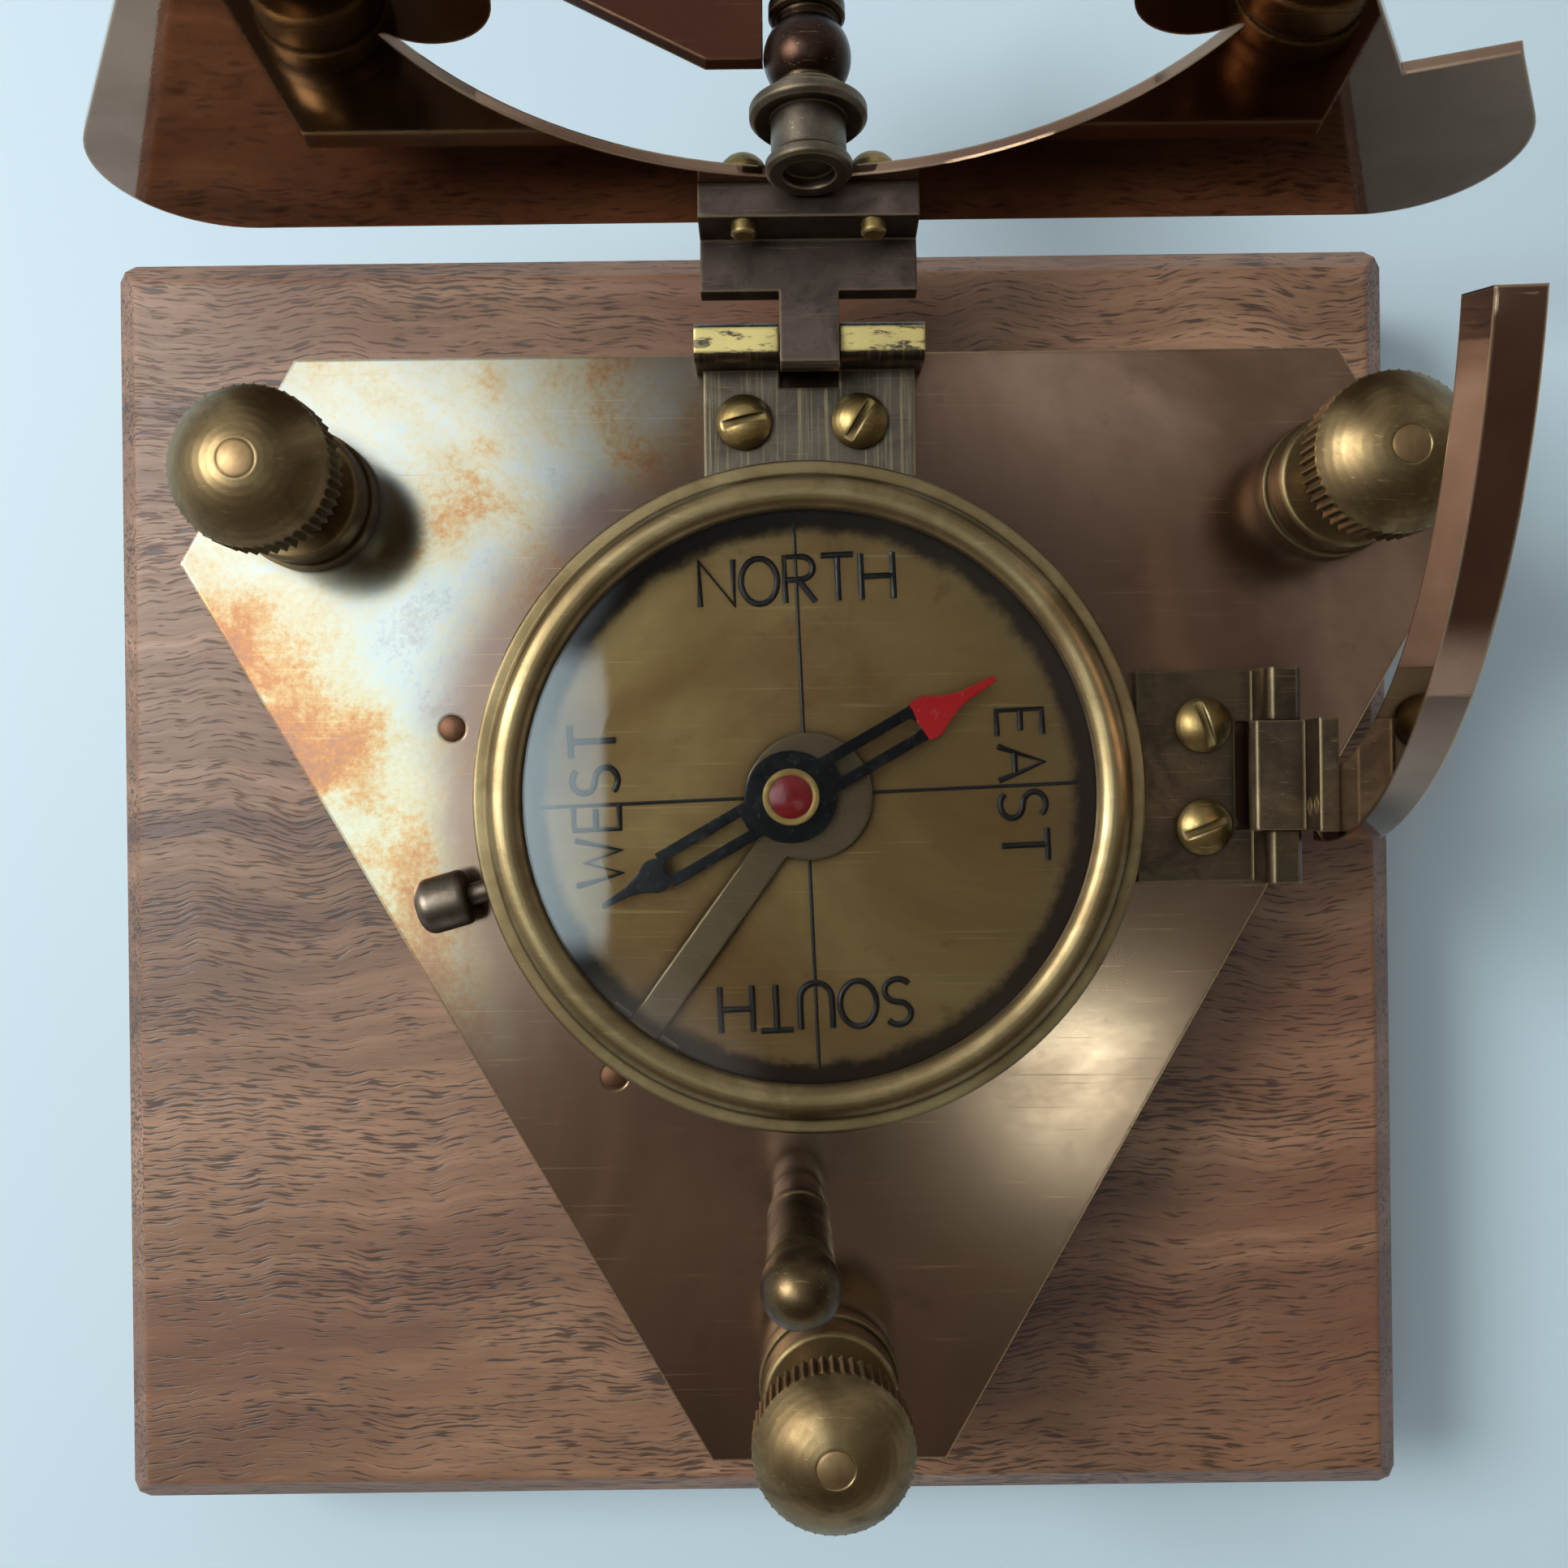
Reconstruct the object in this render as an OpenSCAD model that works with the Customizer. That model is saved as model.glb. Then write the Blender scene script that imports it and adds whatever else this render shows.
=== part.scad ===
// Sundial compass: a triangular brass base on three levelling screws carries a
// compass, a folding hour plate with its gnomon, and a folding latitude arc.
// It stands on a hardwood block. Millimetres, +Z up, north along +Y, east along +X.
// The origin is the middle of the block's underside.

/* [Wooden base] */
// Width of the block, east to west
wood_w = 126; // [110:1:160]
// Depth of the block, north to south
wood_d = 123; // [110:1:160]
// Height of the block
wood_h = 20; // [12:1:40]
// Chamfer along the block's top edges
wood_chamfer = 2.2; // [0.5:0.1:5]
// Small chamfer down the block's upright corners
wood_corner = 1.6; // [0.4:0.1:4]
// Compass centre, east of the block's middle
compass_x = 5; // [-8:0.1:8]
// Compass centre, north of the block's middle
compass_y = 7.8; // [0:0.1:12]

/* [Base plate] */
// Distance from the plate's middle to each side of the triangle
plate_inradius = 39.7; // [38:0.1:46]
// Distance from the plate's middle to each cut-off corner
plate_reach = 61; // [58:0.1:68]
// Middle of the plate, east of the compass centre
plate_x = 1.2; // [-3:0.1:3]
// Middle of the plate, north of the compass centre
plate_y = 0.6; // [-3:0.1:3]
// Thickness of the plate
plate_t = 2; // [1.2:0.1:4]
// Height of the plate's underside above the block
plate_gap = 10; // [6:0.5:16]

/* [Levelling screws] */
// Distance from the plate's middle to each screw
screw_reach = 53.3; // [52:0.1:55]
// Diameter of the boss on the plate
boss_d = 12.6; // [10:0.1:13]
// Height of the boss above the plate
boss_h = 6; // [4:0.1:8]
// Diameter of the boss's spigot in the plate
spigot_d = 8; // [6.5:0.1:9]
// Diameter of the stud
stud_d = 4; // [3:0.1:5]
// Diameter of the stud's riveted top end
stud_tip_d = 3; // [1.6:0.1:3.2]
// Diameter of the stud's foot
foot_d = 8; // [6:0.1:11]
// Height of the stud's foot
foot_h = 3; // [2:0.1:4.5]
// Diameter over the knob's knurled band
knob_d = 13.4; // [12:0.1:15]
// Height of the knob from its neck to the top of its dome
knob_h = 13; // [11:0.1:16]
// Diameter of the knob's neck
neck_d = 7; // [6:0.1:9]
// Height of the knurled band
knurl_h = 3.6; // [2:0.1:5]
// Depth of the knurling
knurl_depth = 0.4; // [0.2:0.05:0.8]
// Number of ridges round the knob
knurl_teeth = 50; // [24:1:72]

/* [Compass] */
// Outer diameter of the case
case_d = 56.8; // [52:0.1:60]
// Thickness of the case's wall
case_wall = 1.2; // [0.8:0.1:2]
// Height of the case's wall
case_h = 5.4; // [5:0.1:7]
// Thickness of the case's floor
case_floor = 0.8; // [0.5:0.1:1.2]
// Thickness of the dial
dial_t = 0.8; // [0.5:0.1:1.2]
// How far the bezel's rim stands out past the case
bezel_rim = 1; // [0.6:0.1:2]
// Width of the bezel's rounded moulding
bezel_moulding = 3.2; // [2.4:0.1:4]
// Height of the rounded moulding above the rim
bezel_rise = 1.3; // [0.8:0.1:2]
// Thickness of the glass
glass_t = 0.8; // [0.6:0.1:1.2]
// Rise of the glass in its middle
glass_dome = 0.2; // [0.2:0.1:1]
// Width of the ring that the glass sits on
seat_w = 1.5; // [1:0.1:2]
// Height of that ring
seat_h = 0.9; // [0.6:0.1:1.4]

/* [Needle] */
// Pivot, east of the dial's middle
pivot_x = -1.6; // [-2:0.1:2]
// Diameter of the pivot post
pivot_d = 1.2; // [0.8:0.1:1.4]
// Height of the needle above the dial
needle_lift = 2.1; // [1.9:0.05:2.4]
// Thickness of the needle
needle_t = 0.7; // [0.3:0.05:0.8]
// Length of the painted end, from the pivot
needle_tip = 20.8; // [18:0.1:22]
// Length of the black end, from the pivot
needle_tail = 19.2; // [17:0.1:21]
// Width across the two bars of an arm
needle_w = 3.4; // [3:0.1:4.5]
// Width of one bar
needle_bar = 1; // [0.6:0.1:1.3]
// Diameter of the needle's hub
hub_d = 8.2; // [6.5:0.1:9]
// Distance from the pivot to the far end of the arm's slot
slot_reach = 12.9; // [11:0.1:14.5]
// Heading of the painted end, anticlockwise from east
needle_heading = 29.5; // [0:0.5:360]
// Diameter of the brass cap on the hub
cap_d = 5; // [4.2:0.1:5.6]
// Diameter of the red disc in the cap
jewel_d = 3.8; // [2.6:0.1:4]

/* [Needle lock] */
// Heading of the lifter's fixing, anticlockwise from east
lifter_heading = 234; // [215:0.5:255]
// Width of the lifter's strip
lifter_w = 3; // [2:0.1:4]
// Thickness of the lifter's strip
lifter_t = 0.4; // [0.3:0.05:0.5]
// Diameter of the lifter's round end
lifter_eye_d = 11.4; // [9:0.1:13]
// Heading of the lock knob, anticlockwise from east
lock_heading = 195.5; // [170:0.5:210]
// Diameter of the lock knob
lock_d = 5; // [4:0.1:6]
// Length of the lock knob
lock_len = 4.7; // [3:0.1:5.5]
// Diameter of the lock's spindle
lock_pin_d = 2; // [1.4:0.1:2.2]

/* [Hinges] */
// Height of both hinge axes above the plate
hinge_z = 4.2; // [4:0.1:5]
// Diameter of the hinge pins
pin_d = 1.8; // [1.4:0.1:2]
// Diameter of the hinge knuckles
knuckle_d = 3.4; // [3:0.1:3.8]
// Thickness of the fixed leaves
leaf_t = 1.6; // [1.2:0.1:2]
// Width of the leaves along the hinge
leaf_w = 19; // [17:0.1:21]
// Length of the north hinge's barrel
barrel_w = 20.3; // [19:0.1:24]
// Length of the north leaf from the case to its hinge axis
north_leaf = 11.4; // [11:0.1:14]
// Length of the east leaf from its inner end to its hinge axis
east_leaf = 12.1; // [11.5:0.1:14]
// Gap between the case and the east leaf
east_gap = 1.2; // [0.3:0.1:2]
// North hinge's middle, east of the compass centre
north_hinge_x = 0.5; // [-1:0.1:1]
// Width of the north hinge's moving tongue
north_tongue = 5.2; // [4:0.1:8]
// Width of the east hinge's moving tongue
east_tongue = 9.6; // [6:0.1:11]
// Reach of the tongue's rounded nose past the pin
tongue_nose = 2.9; // [2.4:0.1:3.2]
// Distance from the north hinge's axis to its bracket's wide leaf
north_shoulder = 4; // [2.4:0.1:5]
// Thickness of the moving leaves
moving_t = 1.8; // [1.4:0.1:2.4]
// Diameter of the leaf screws' round heads
head_d = 5; // [4:0.1:5.6]
// Height of the round heads
head_h = 1.5; // [1:0.1:2]
// Diameter of the leaf screws' shanks
shank_d = 2.4; // [1.8:0.1:3]
// Spacing of the north leaf's screws
north_screw_pitch = 10.4; // [9:0.1:11.5]
// Middle of the north leaf's screws, east of the hinge's middle
north_screw_x = -0.7; // [-1:0.1:1]
// Spacing of the east leaf's screws
east_screw_pitch = 9.2; // [8:0.1:11.5]
// East hinge's middle, north of the compass centre
east_hinge_y = 1.4; // [-2:0.1:4]

/* [Hour plate] */
// Lean of the plate past upright, to the north
hour_lean = 8.4; // [0:0.1:15]
// Distance from the hinge axis to the plate's south face
hour_offset = 11.9; // [10:0.1:14]
// Distance from the triangle's middle to each side
hour_inradius = 38.8; // [37.5:0.1:41]
// Height of the bottom edge above the level of the hinge axis
hour_foot = -0.8; // [-2:0.1:1]
// Radius of the rounded corners
hour_corner = 10.4; // [7:0.1:13]
// Thickness of the plate
hour_t = 1; // [0.8:0.1:2.4]
// Height of the round opening's middle above the hinge axis
ring_s = 41.1; // [40.9:0.1:43]
// Radius of the round opening
ring_r = 24.5; // [23:0.1:25.5]
// Radius of the crescent below it
crescent_r = 34.4; // [32:0.1:34.6]
// Height of the crescent's horns above the hinge axis
horn_s = 27; // [25:0.1:29]
// Rounding of the tongues of metal above the horns
horn_r = 5; // [3:0.1:6]
// Drop of the tongues' round ends below the horns
horn_dip = 1.2; // [0.4:0.1:2]
// Depth of the notch in the east side
notch_inset = 8.2; // [7:0.1:10]
// Height of the notch's lower shoulder above the hinge axis
notch_low = 20.6; // [19:0.1:24]
// Height of the notch's upper shoulder above the hinge axis
notch_high = 50; // [46:0.5:56]
// Thickness of the bracket's upright flange
flange_t = 3.1; // [2:0.1:4]
// Height of the flange above the hinge axis
flange_h = 6; // [5.6:0.1:6.1]
// Spacing of the bracket's screws
bracket_pitch = 11.2; // [9:0.1:13]
// Diameter of the bracket's screws
bracket_screw_d = 2.2; // [1.8:0.1:2.6]

/* [Gnomon] */
// Height of the gnomon's axis above the hinge axis
gnomon_s = 9.9; // [9.9:0.1:11]
// Reach of the socket in front of the hour plate
socket_front = 1.6; // [1.5:0.1:3]
// Diameter of the socket
socket_d = 6.3; // [6:0.1:6.6]
// Diameter of the socket's front rim
socket_rim_d = 7.3; // [6.8:0.1:7.4]
// Length of the socket up to its collar
socket_len = 4.6; // [4.2:0.1:6]
// Width of the lug behind the hour plate
lug_w = 6; // [4:0.1:6.4]
// Diameter of the collar on the socket
collar_d = 9.9; // [8.5:0.1:11]
// Thickness of the collar
collar_t = 2.4; // [1.8:0.1:3.5]
// Diameter of the rod's foot in the socket
rod_foot_d = 3; // [2.4:0.1:3.6]
// Diameter of the rod
rod_d = 4; // [3:0.1:5]
// Diameter of the turned ball
ball_d = 7.4; // [6.5:0.1:8.5]
// Diameter of the turned rings
ring_d = 6.5; // [5.5:0.1:7.5]
// Thickness of the blade
blade_t = 1.5; // [1:0.1:2]
// Reach of the blade from the rod's axis
blade_reach = 21.5; // [17:0.1:22]
// Reach of the blade's blunt ends from the rod's axis
blade_shoulder = 8.6; // [6:0.1:10]
// Length of the blade along the rod
blade_len = 20; // [16:0.1:26]

/* [Latitude arc] */
// Lean of the arc towards the compass
arc_lean = 5; // [0:0.1:7]
// Distance from the hinge axis to the arc's inner face
arc_offset = 3.3; // [3.1:0.1:5]
// Thickness of the arc
arc_t = 3.2; // [1.6:0.1:4]
// Inner radius of the arc about the hour plate's hinge
arc_inner_r = 38.6; // [37:0.1:40]
// Outer radius of the arc
arc_outer_r = 44.6; // [42:0.1:46]
// Angle of the arc's upper end above the base
arc_end = 78; // [60:1:82]
// Angle of the arc's foot below the hinge axis
arc_foot = 3; // [0:0.5:3]
// Thickness of the arc's upright bracket
arc_flange_t = 1.6; // [1:0.1:1.6]
// Height of that bracket above the hinge axis
arc_flange_h = 7; // [6:0.1:9]
// Diameter of the arc's rivets
arc_rivet_d = 1.4; // [1:0.1:1.8]

/* [Catch post] */
// Distance south from the compass centre to the post
post_reach = 36.3; // [35:0.1:42]
// Post, east of the compass centre
post_x = -1.4; // [-4:0.1:4]
// Diameter of the post
post_d = 5.5; // [4:0.1:6]
// Height of the post with its head
post_h = 29.5; // [22:0.1:34]
// Diameter of the post's round head
post_head_d = 6.2; // [5:0.1:7]
// Height of the ring groove on the post
post_groove_z = 9; // [6:0.1:12]

/* [Clearances] */
// Radial clearance of a part that turns on a pin
run_clear = 0.05; // [0.02:0.01:0.09]
// Clearance between pieces that are fixed together
seat_clear = 0.02; // [0.01:0.01:0.05]
// Gap beside a hinge's moving tongue
side_clear = 0.1; // [0.05:0.01:0.3]
// Gap between pieces that swing past each other
swing_clear = 0.4; // [0.3:0.05:0.6]

/* [Hidden] */
$fn = 96;
corner_names = ["east", "west", "south"];
corner_angles = [30, 150, 270];

// Colours
wood_colour = [0.42, 0.25, 0.16];
plate_colour = [0.50, 0.38, 0.29];
knob_colour = [0.52, 0.41, 0.22];
bronze_colour = [0.36, 0.30, 0.23];
gold_colour = [0.64, 0.51, 0.25];
dial_colour = [0.42, 0.35, 0.21];
black_colour = [0.05, 0.05, 0.05];
red_colour = [0.70, 0.04, 0.05];
glass_colour = [0.80, 0.88, 0.92, 0.25];

// Cutters run past a face by this much
past = 1;

// Levels, above the block's underside and then above the plate's top face
plate_top = wood_h + plate_gap + plate_t;
dial_z = case_floor;
dial_top = dial_z + dial_t;
needle_z = dial_top + needle_lift;
glass_lift = 0.1;
glass_z = case_h + glass_lift;
bezel_clear = 0.05;
bezel_under = glass_z + glass_t + bezel_clear;

// Compass radii
case_r = case_d / 2;
case_in_r = case_r - case_wall;
bezel_r = case_r + bezel_rim;
moulding_in = 0.2;
bezel_bore_r = case_r - bezel_moulding - moulding_in;
glass_r = case_in_r - glass_lift;

// Hinges
north_gap = 0.3;
north_axis_y = case_r + north_gap + north_leaf;
east_axis_x = case_r + east_gap + east_leaf;
knuckle_r = knuckle_d / 2;
pin_r = pin_d / 2;
north_screw_back = 6.4;
east_screw_back = 6.2;
north_slot_turns = [12, 58];
east_slot_turns = [18, 111];

// Hour plate, in its own plane: x along the hinge, s up the plate
hour_mid_s = hour_foot + hour_inradius;
hour_apex_s = hour_foot + 3 * hour_inradius;
leaf_over = 0.2;
leaf_top = knuckle_r + leaf_over;
bracket_screw_rise = 2.8;
bracket_screw_s = leaf_top + bracket_screw_rise;
rim_over = 2;
rim_s = bracket_screw_s + rim_over;
crescent_s = rim_s + crescent_r;
notch_slope = 4.3;
notch_past = 4;

// Gnomon, along its axis from the front of the socket
plate_back = socket_front + hour_t;
collar_a = socket_len;
collar_back = collar_a + collar_t;
rod_foot_a = 1.5;
ball_sink = 0.25;
ball_a = collar_back + ball_d / 2 - ball_sink;
ring_sink = 0.3;
rings_a = ball_a + ball_d / 2 - ring_sink;
rings_len = 4.5;
blade_back = 0.4;
blade_a = ball_a - blade_back;
blade_end = blade_a + blade_len;
finial_r = rod_d / 2;
finial_neck = 0.6;
finial_a = blade_end + finial_r + finial_neck;
blade_slot = 0.8;
blade_taper_share = 0.35;
blade_taper = blade_len * blade_taper_share;

// Needle lock
lifter_gap = 0.4;
lifter_z = dial_top + lifter_gap;
trunnion_r = 0.45;
trunnion_z = lifter_z + lifter_t / 2;
saddle_w = 7;
saddle_len = 2.2;
saddle_h = 1.4;
saddle_gap = 0.2;
saddle_reach = case_in_r - saddle_len / 2 - saddle_gap;
lifter_hole_d = 4.8;
lock_z = 3.1;
lock_gap = 2;
lock_start = bezel_r + lock_gap;

// Points along an arc
function arc_points(cx, cy, r, from, to, steps) =
  [for (i = [0:steps]) let (a = from + (to - from) * i / steps) [cx + r * cos(a), cy + r * sin(a)]];

// Radius of a spherical cap, and the half angle that it spans
function cap_radius(half, rise) = (half * half + rise * rise) / (2 * rise);
function cap_angle(half, rise) = asin(half / cap_radius(half, rise));

// Points over a round cap, from its edge to its middle, at a height z
function cap_points(half, rise, z, steps) =
  arc_points(0, z + rise - cap_radius(half, rise), cap_radius(half, rise),
             90 - cap_angle(half, rise), 90, steps);

// Frames: the instrument on its block, and the two hinges with what they carry
module instrument() {
  translate([compass_x, compass_y, plate_top]) children();
}

module at_corner(angle) {
  instrument() translate([plate_x, plate_y, 0]) rotate(angle)
    translate([screw_reach, 0, 0]) children();
}

module north_hinge() {
  instrument() translate([north_hinge_x, north_axis_y, hinge_z]) children();
}

module east_hinge() {
  instrument() translate([east_axis_x, east_hinge_y, hinge_z]) rotate(-90) children();
}

module hour_frame() {
  north_hinge() rotate([-hour_lean, 0, 0]) children();
}

module arc_frame() {
  east_hinge() rotate([arc_lean, 0, 0]) children();
}

module post_frame() {
  instrument() translate([post_x, -post_reach, 0]) children();
}

// Extrudes a profile of (y, z) along x, about the middle
module along_x(width) {
  rotate([90, 0, 90]) linear_extrude(width, center = true) children();
}

// Extrudes an outline of (x, z) along +y, from a start
module along_y(start, depth) {
  translate([0, start + depth, 0]) rotate([90, 0, 0]) linear_extrude(depth) children();
}

// Repeats a piece at both ends of a pitch along x
module pair(pitch) {
  for (side = [-1, 1]) translate([side * pitch / 2, 0, 0]) children();
}

// Wooden block with a chamfered top edge
module wooden_base() {
  color(wood_colour) difference() {
    translate([-wood_w / 2, -wood_d / 2, 0]) cube([wood_w, wood_d, wood_h]);
    for (side = [-1, 1]) {
      translate([0, side * wood_d / 2, wood_h]) edge_cut(wood_w, wood_chamfer);
      translate([side * wood_w / 2, 0, wood_h]) rotate(90) edge_cut(wood_d, wood_chamfer);
      for (end = [-1, 1])
        translate([side * wood_w / 2, end * wood_d / 2, wood_h / 2])
          rotate([0, 90, 0]) edge_cut(wood_h, wood_corner);
    }
  }
}

// Square bar, turned on edge, that cuts a chamfer along an edge
module edge_cut(length, chamfer) {
  rotate([45, 0, 0]) cube([length + 2 * past, chamfer * sqrt(2), chamfer * sqrt(2)], center = true);
}

// Triangular plate with cut-off corners
module base_plate() {
  color(plate_colour) difference() {
    instrument() translate([plate_x, plate_y, -plate_t]) linear_extrude(plate_t) intersection() {
      rotate(-90) circle(r = 2 * plate_inradius, $fn = 3);
      rotate(90) circle(r = 2 * plate_reach, $fn = 3);
    }
    for (a = corner_angles) at_corner(a) through_plate(spigot_d + 2 * seat_clear);
    post_frame() through_plate(post_spigot_d + 2 * seat_clear);
    rivet_spots() through_plate(rivet_d + 2 * seat_clear);
    north_hinge() leaf_screw_spots(north_screw_pitch, north_screw_back, north_screw_x)
      through_plate(shank_d + 2 * seat_clear);
    east_hinge() leaf_screw_spots(east_screw_pitch, east_screw_back, 0)
      through_plate(shank_d + 2 * seat_clear);
  }
}

module through_plate(d) {
  translate([0, 0, -plate_t - past]) cylinder(d = d, h = plate_t + 2 * past);
}

// Levelling boss: a stepped collar riveted into the plate
boss_groove_z = 2.2;
boss_groove_h = 0.6;
boss_groove_in = 0.6;
boss_step = 0.3;
module levelling_boss(angle) {
  r = boss_d / 2;
  color(knob_colour) at_corner(angle) difference() {
    rotate_extrude() polygon([
      [0, -plate_t], [spigot_d / 2, -plate_t], [spigot_d / 2, 0], [r, 0],
      [r, boss_groove_z], [r - boss_groove_in, boss_groove_z],
      [r - boss_groove_in, boss_groove_z + boss_groove_h], [r - boss_step, boss_groove_z + boss_groove_h],
      [r - boss_step, boss_h - boss_step], [r - 2 * boss_step, boss_h], [0, boss_h]]);
    translate([0, 0, -plate_t - past])
      cylinder(d = stud_d + 2 * run_clear, h = plate_t + boss_h + 2 * past);
  }
}

// Levels of the knob and stud above the plate
knob_gap = 1;
knob_z = boss_h + knob_gap;
knob_top = knob_z + knob_h;
knurl_dome = 3.2;
knurl_z = knob_top - knurl_dome - knurl_h;
stud_shoulder_z = knurl_z;
tip_rise = 0.18;
tip_over = 0.06;
stud_top = knob_top + tip_over;
foot_clear = 0.05;
foot_bevel = 0.5;
foot_taper = 1;

// Levelling stud: foot, shank and a tip riveted over the knob
module levelling_stud(angle) {
  foot_z = -plate_t - plate_gap + foot_clear;
  tip_r = stud_tip_d / 2;
  color(bronze_colour) at_corner(angle) rotate_extrude() polygon(concat(
    [[0, foot_z], [foot_d / 2 - foot_bevel, foot_z], [foot_d / 2, foot_z + foot_bevel],
     [foot_d / 2, foot_z + foot_h - foot_taper], [stud_d / 2, foot_z + foot_h],
     [stud_d / 2, stud_shoulder_z], [tip_r, stud_shoulder_z]],
    cap_points(tip_r, tip_rise, stud_top - tip_rise, 4)));
}

// Knurled knob: neck, flare, ridged band and dome
neck_h = 2.4;
band_bevel = 0.6;
dome_in = 0.1;
module levelling_knob(angle) {
  band_r = knob_d / 2;
  root_r = band_r - knurl_depth;
  color(knob_colour) at_corner(angle) difference() {
    union() {
      rotate_extrude() polygon(concat(
        [[0, knob_z], [neck_d / 2, knob_z], [neck_d / 2, knob_z + neck_h],
         [root_r - band_bevel, knurl_z - band_bevel], [root_r, knurl_z], [root_r, knurl_z + knurl_h]],
        cap_points(band_r - dome_in, knurl_dome, knurl_z + knurl_h, 10)));
      translate([0, 0, knurl_z]) linear_extrude(knurl_h) knurl_outline(band_r, root_r);
    }
    translate([0, 0, knob_z - past])
      cylinder(d = stud_d + 2 * seat_clear, h = stud_shoulder_z + seat_clear - knob_z + past);
    translate([0, 0, knob_z]) cylinder(d = stud_tip_d + 2 * seat_clear, h = knob_h + past);
  }
}

// Outline of the ridged band: one point and one root, sunk a little, for each ridge
knurl_sink = 0.05;
module knurl_outline(band_r, root_r) {
  step = 360 / knurl_teeth;
  radii = [band_r, root_r - knurl_sink];
  polygon([for (i = [0:knurl_teeth - 1], half = [0, 1])
    let (a = (i + half / 2) * step) [radii[half] * cos(a), radii[half] * sin(a)]]);
}

// Compass case: a shallow cup with a hole for the lock's spindle
module compass_case() {
  color(bronze_colour) difference() {
    instrument() cylinder(r = case_r, h = case_h);
    instrument() translate([0, 0, case_floor]) cylinder(r = case_in_r, h = case_h);
    lock_frame() cylinder(d = lock_pin_d + 2 * run_clear, h = 2 * case_r);
  }
}

// Dial on the case's floor
module compass_dial() {
  color(dial_colour) instrument() difference() {
    translate([0, 0, dial_z]) cylinder(r = case_in_r - seat_clear, h = dial_t);
    translate([pivot_x, 0, dial_z - past])
      cylinder(d = pivot_foot_d + 2 * seat_clear, h = dial_t + 2 * past);
  }
}

// Ring inside the case that the glass sits on
module glass_seat() {
  color(bronze_colour) instrument() translate([0, 0, glass_z - seat_h]) difference() {
    cylinder(r = case_in_r - seat_clear, h = seat_h);
    translate([0, 0, -past]) cylinder(r = case_in_r - seat_w, h = seat_h + 2 * past);
  }
}

// Slightly domed glass
glass_margin = 0.5;
module compass_glass() {
  flat_r = case_in_r - seat_w - glass_margin;
  steps = 8;
  under = cap_points(flat_r, glass_dome, glass_z, steps);
  color(glass_colour) instrument() rotate_extrude() polygon(concat(
    [for (i = [0:steps]) under[steps - i]],
    [[glass_r, glass_z], [glass_r, glass_z + glass_t]],
    cap_points(flat_r, glass_dome, glass_z + glass_t, steps)));
}

// Bezel: a flat rim round the case and a rounded moulding over the glass
bezel_skirt = 1.2;
bezel_step = 0.2;
bezel_bevel = 0.2;
bezel_steps = 12;
module compass_bezel() {
  rim_top = bezel_under - bezel_step;
  inner_r = case_r + seat_clear;
  color(gold_colour) instrument() rotate_extrude() polygon(concat(
    [[inner_r, rim_top - bezel_skirt], [bezel_r, rim_top - bezel_skirt],
     [bezel_r, rim_top - bezel_bevel], [bezel_r - bezel_bevel, rim_top],
     [bezel_bore_r + bezel_moulding, rim_top]],
    [for (i = [1:bezel_steps - 1]) let (a = 180 * i / bezel_steps)
      [bezel_bore_r + bezel_moulding / 2 * (1 + cos(a)),
       rim_top + bezel_step * i / bezel_steps + bezel_rise * sin(a)]],
    [[bezel_bore_r, bezel_under], [case_in_r, bezel_under],
     [case_in_r, case_h + seat_clear], [inner_r, case_h + seat_clear]]));
}

// Pivot post, riveted into the dial
pivot_foot_d = 2.2;
pivot_foot_h = 0.3;
pivot_point = 0.5;
cap_over = 0.1;
cap_hole_top = needle_z + needle_t + cap_over;
module needle_pivot() {
  color(gold_colour) instrument() translate([pivot_x, 0, 0]) rotate_extrude() polygon([
    [0, dial_z], [pivot_foot_d / 2, dial_z], [pivot_foot_d / 2, dial_top + pivot_foot_h],
    [pivot_d / 2, dial_top + 2 * pivot_foot_h], [pivot_d / 2, cap_hole_top - pivot_point],
    [0, cap_hole_top - run_clear]]);
}

// What turns with the needle is drawn along +x and turned to its heading
module needle_frame() {
  instrument() translate([pivot_x, 0, needle_z]) rotate(needle_heading) children();
}

// Openwork needle: a hub and two slotted arms with pointed ends
tip_swell_d = 3.9;
tail_swell_d = 3;
module needle() {
  color(black_colour) needle_frame() linear_extrude(needle_t) difference() {
    union() {
      circle(d = hub_d);
      needle_arm(needle_tip, tip_swell_d);
      rotate(180) needle_arm(needle_tail, tail_swell_d);
    }
    circle(d = cap_shank_d + 2 * seat_clear);
    for (turn = [0, 180]) rotate(turn) needle_slot();
  }
}

// One arm: a straight bar, a round swelling and a point that tapers in a hollow curve
swell_past = 0.9;
point_w = 0.5;
module needle_arm(reach, swell_d) {
  swell_x = slot_reach + swell_past;
  taper = reach - swell_x;
  translate([0, -needle_w / 2]) square([slot_reach, needle_w]);
  translate([swell_x, 0]) circle(d = swell_d);
  polygon([for (side = [-1, 1], i = [0:3]) let (j = side < 0 ? i : 3 - i)
    [swell_x + taper * point_along[j], side * (j == 3 ? point_w / 2 : swell_d * point_share[j])]]);
}

// Share of the way along the point, and its half width there as a share of the swelling
point_along = [0.12, 0.3, 0.52, 1];
point_share = [0.43, 0.27, 0.14, 0];

// Opening between the two bars of an arm
slot_web = 0.6;
module needle_slot() {
  start = hub_d / 2 + slot_web;
  gap = needle_w - 2 * needle_bar;
  translate([start, -gap / 2]) square([slot_reach - start - gap / 2, gap]);
  translate([slot_reach - gap / 2, 0]) circle(d = gap);
}

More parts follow.
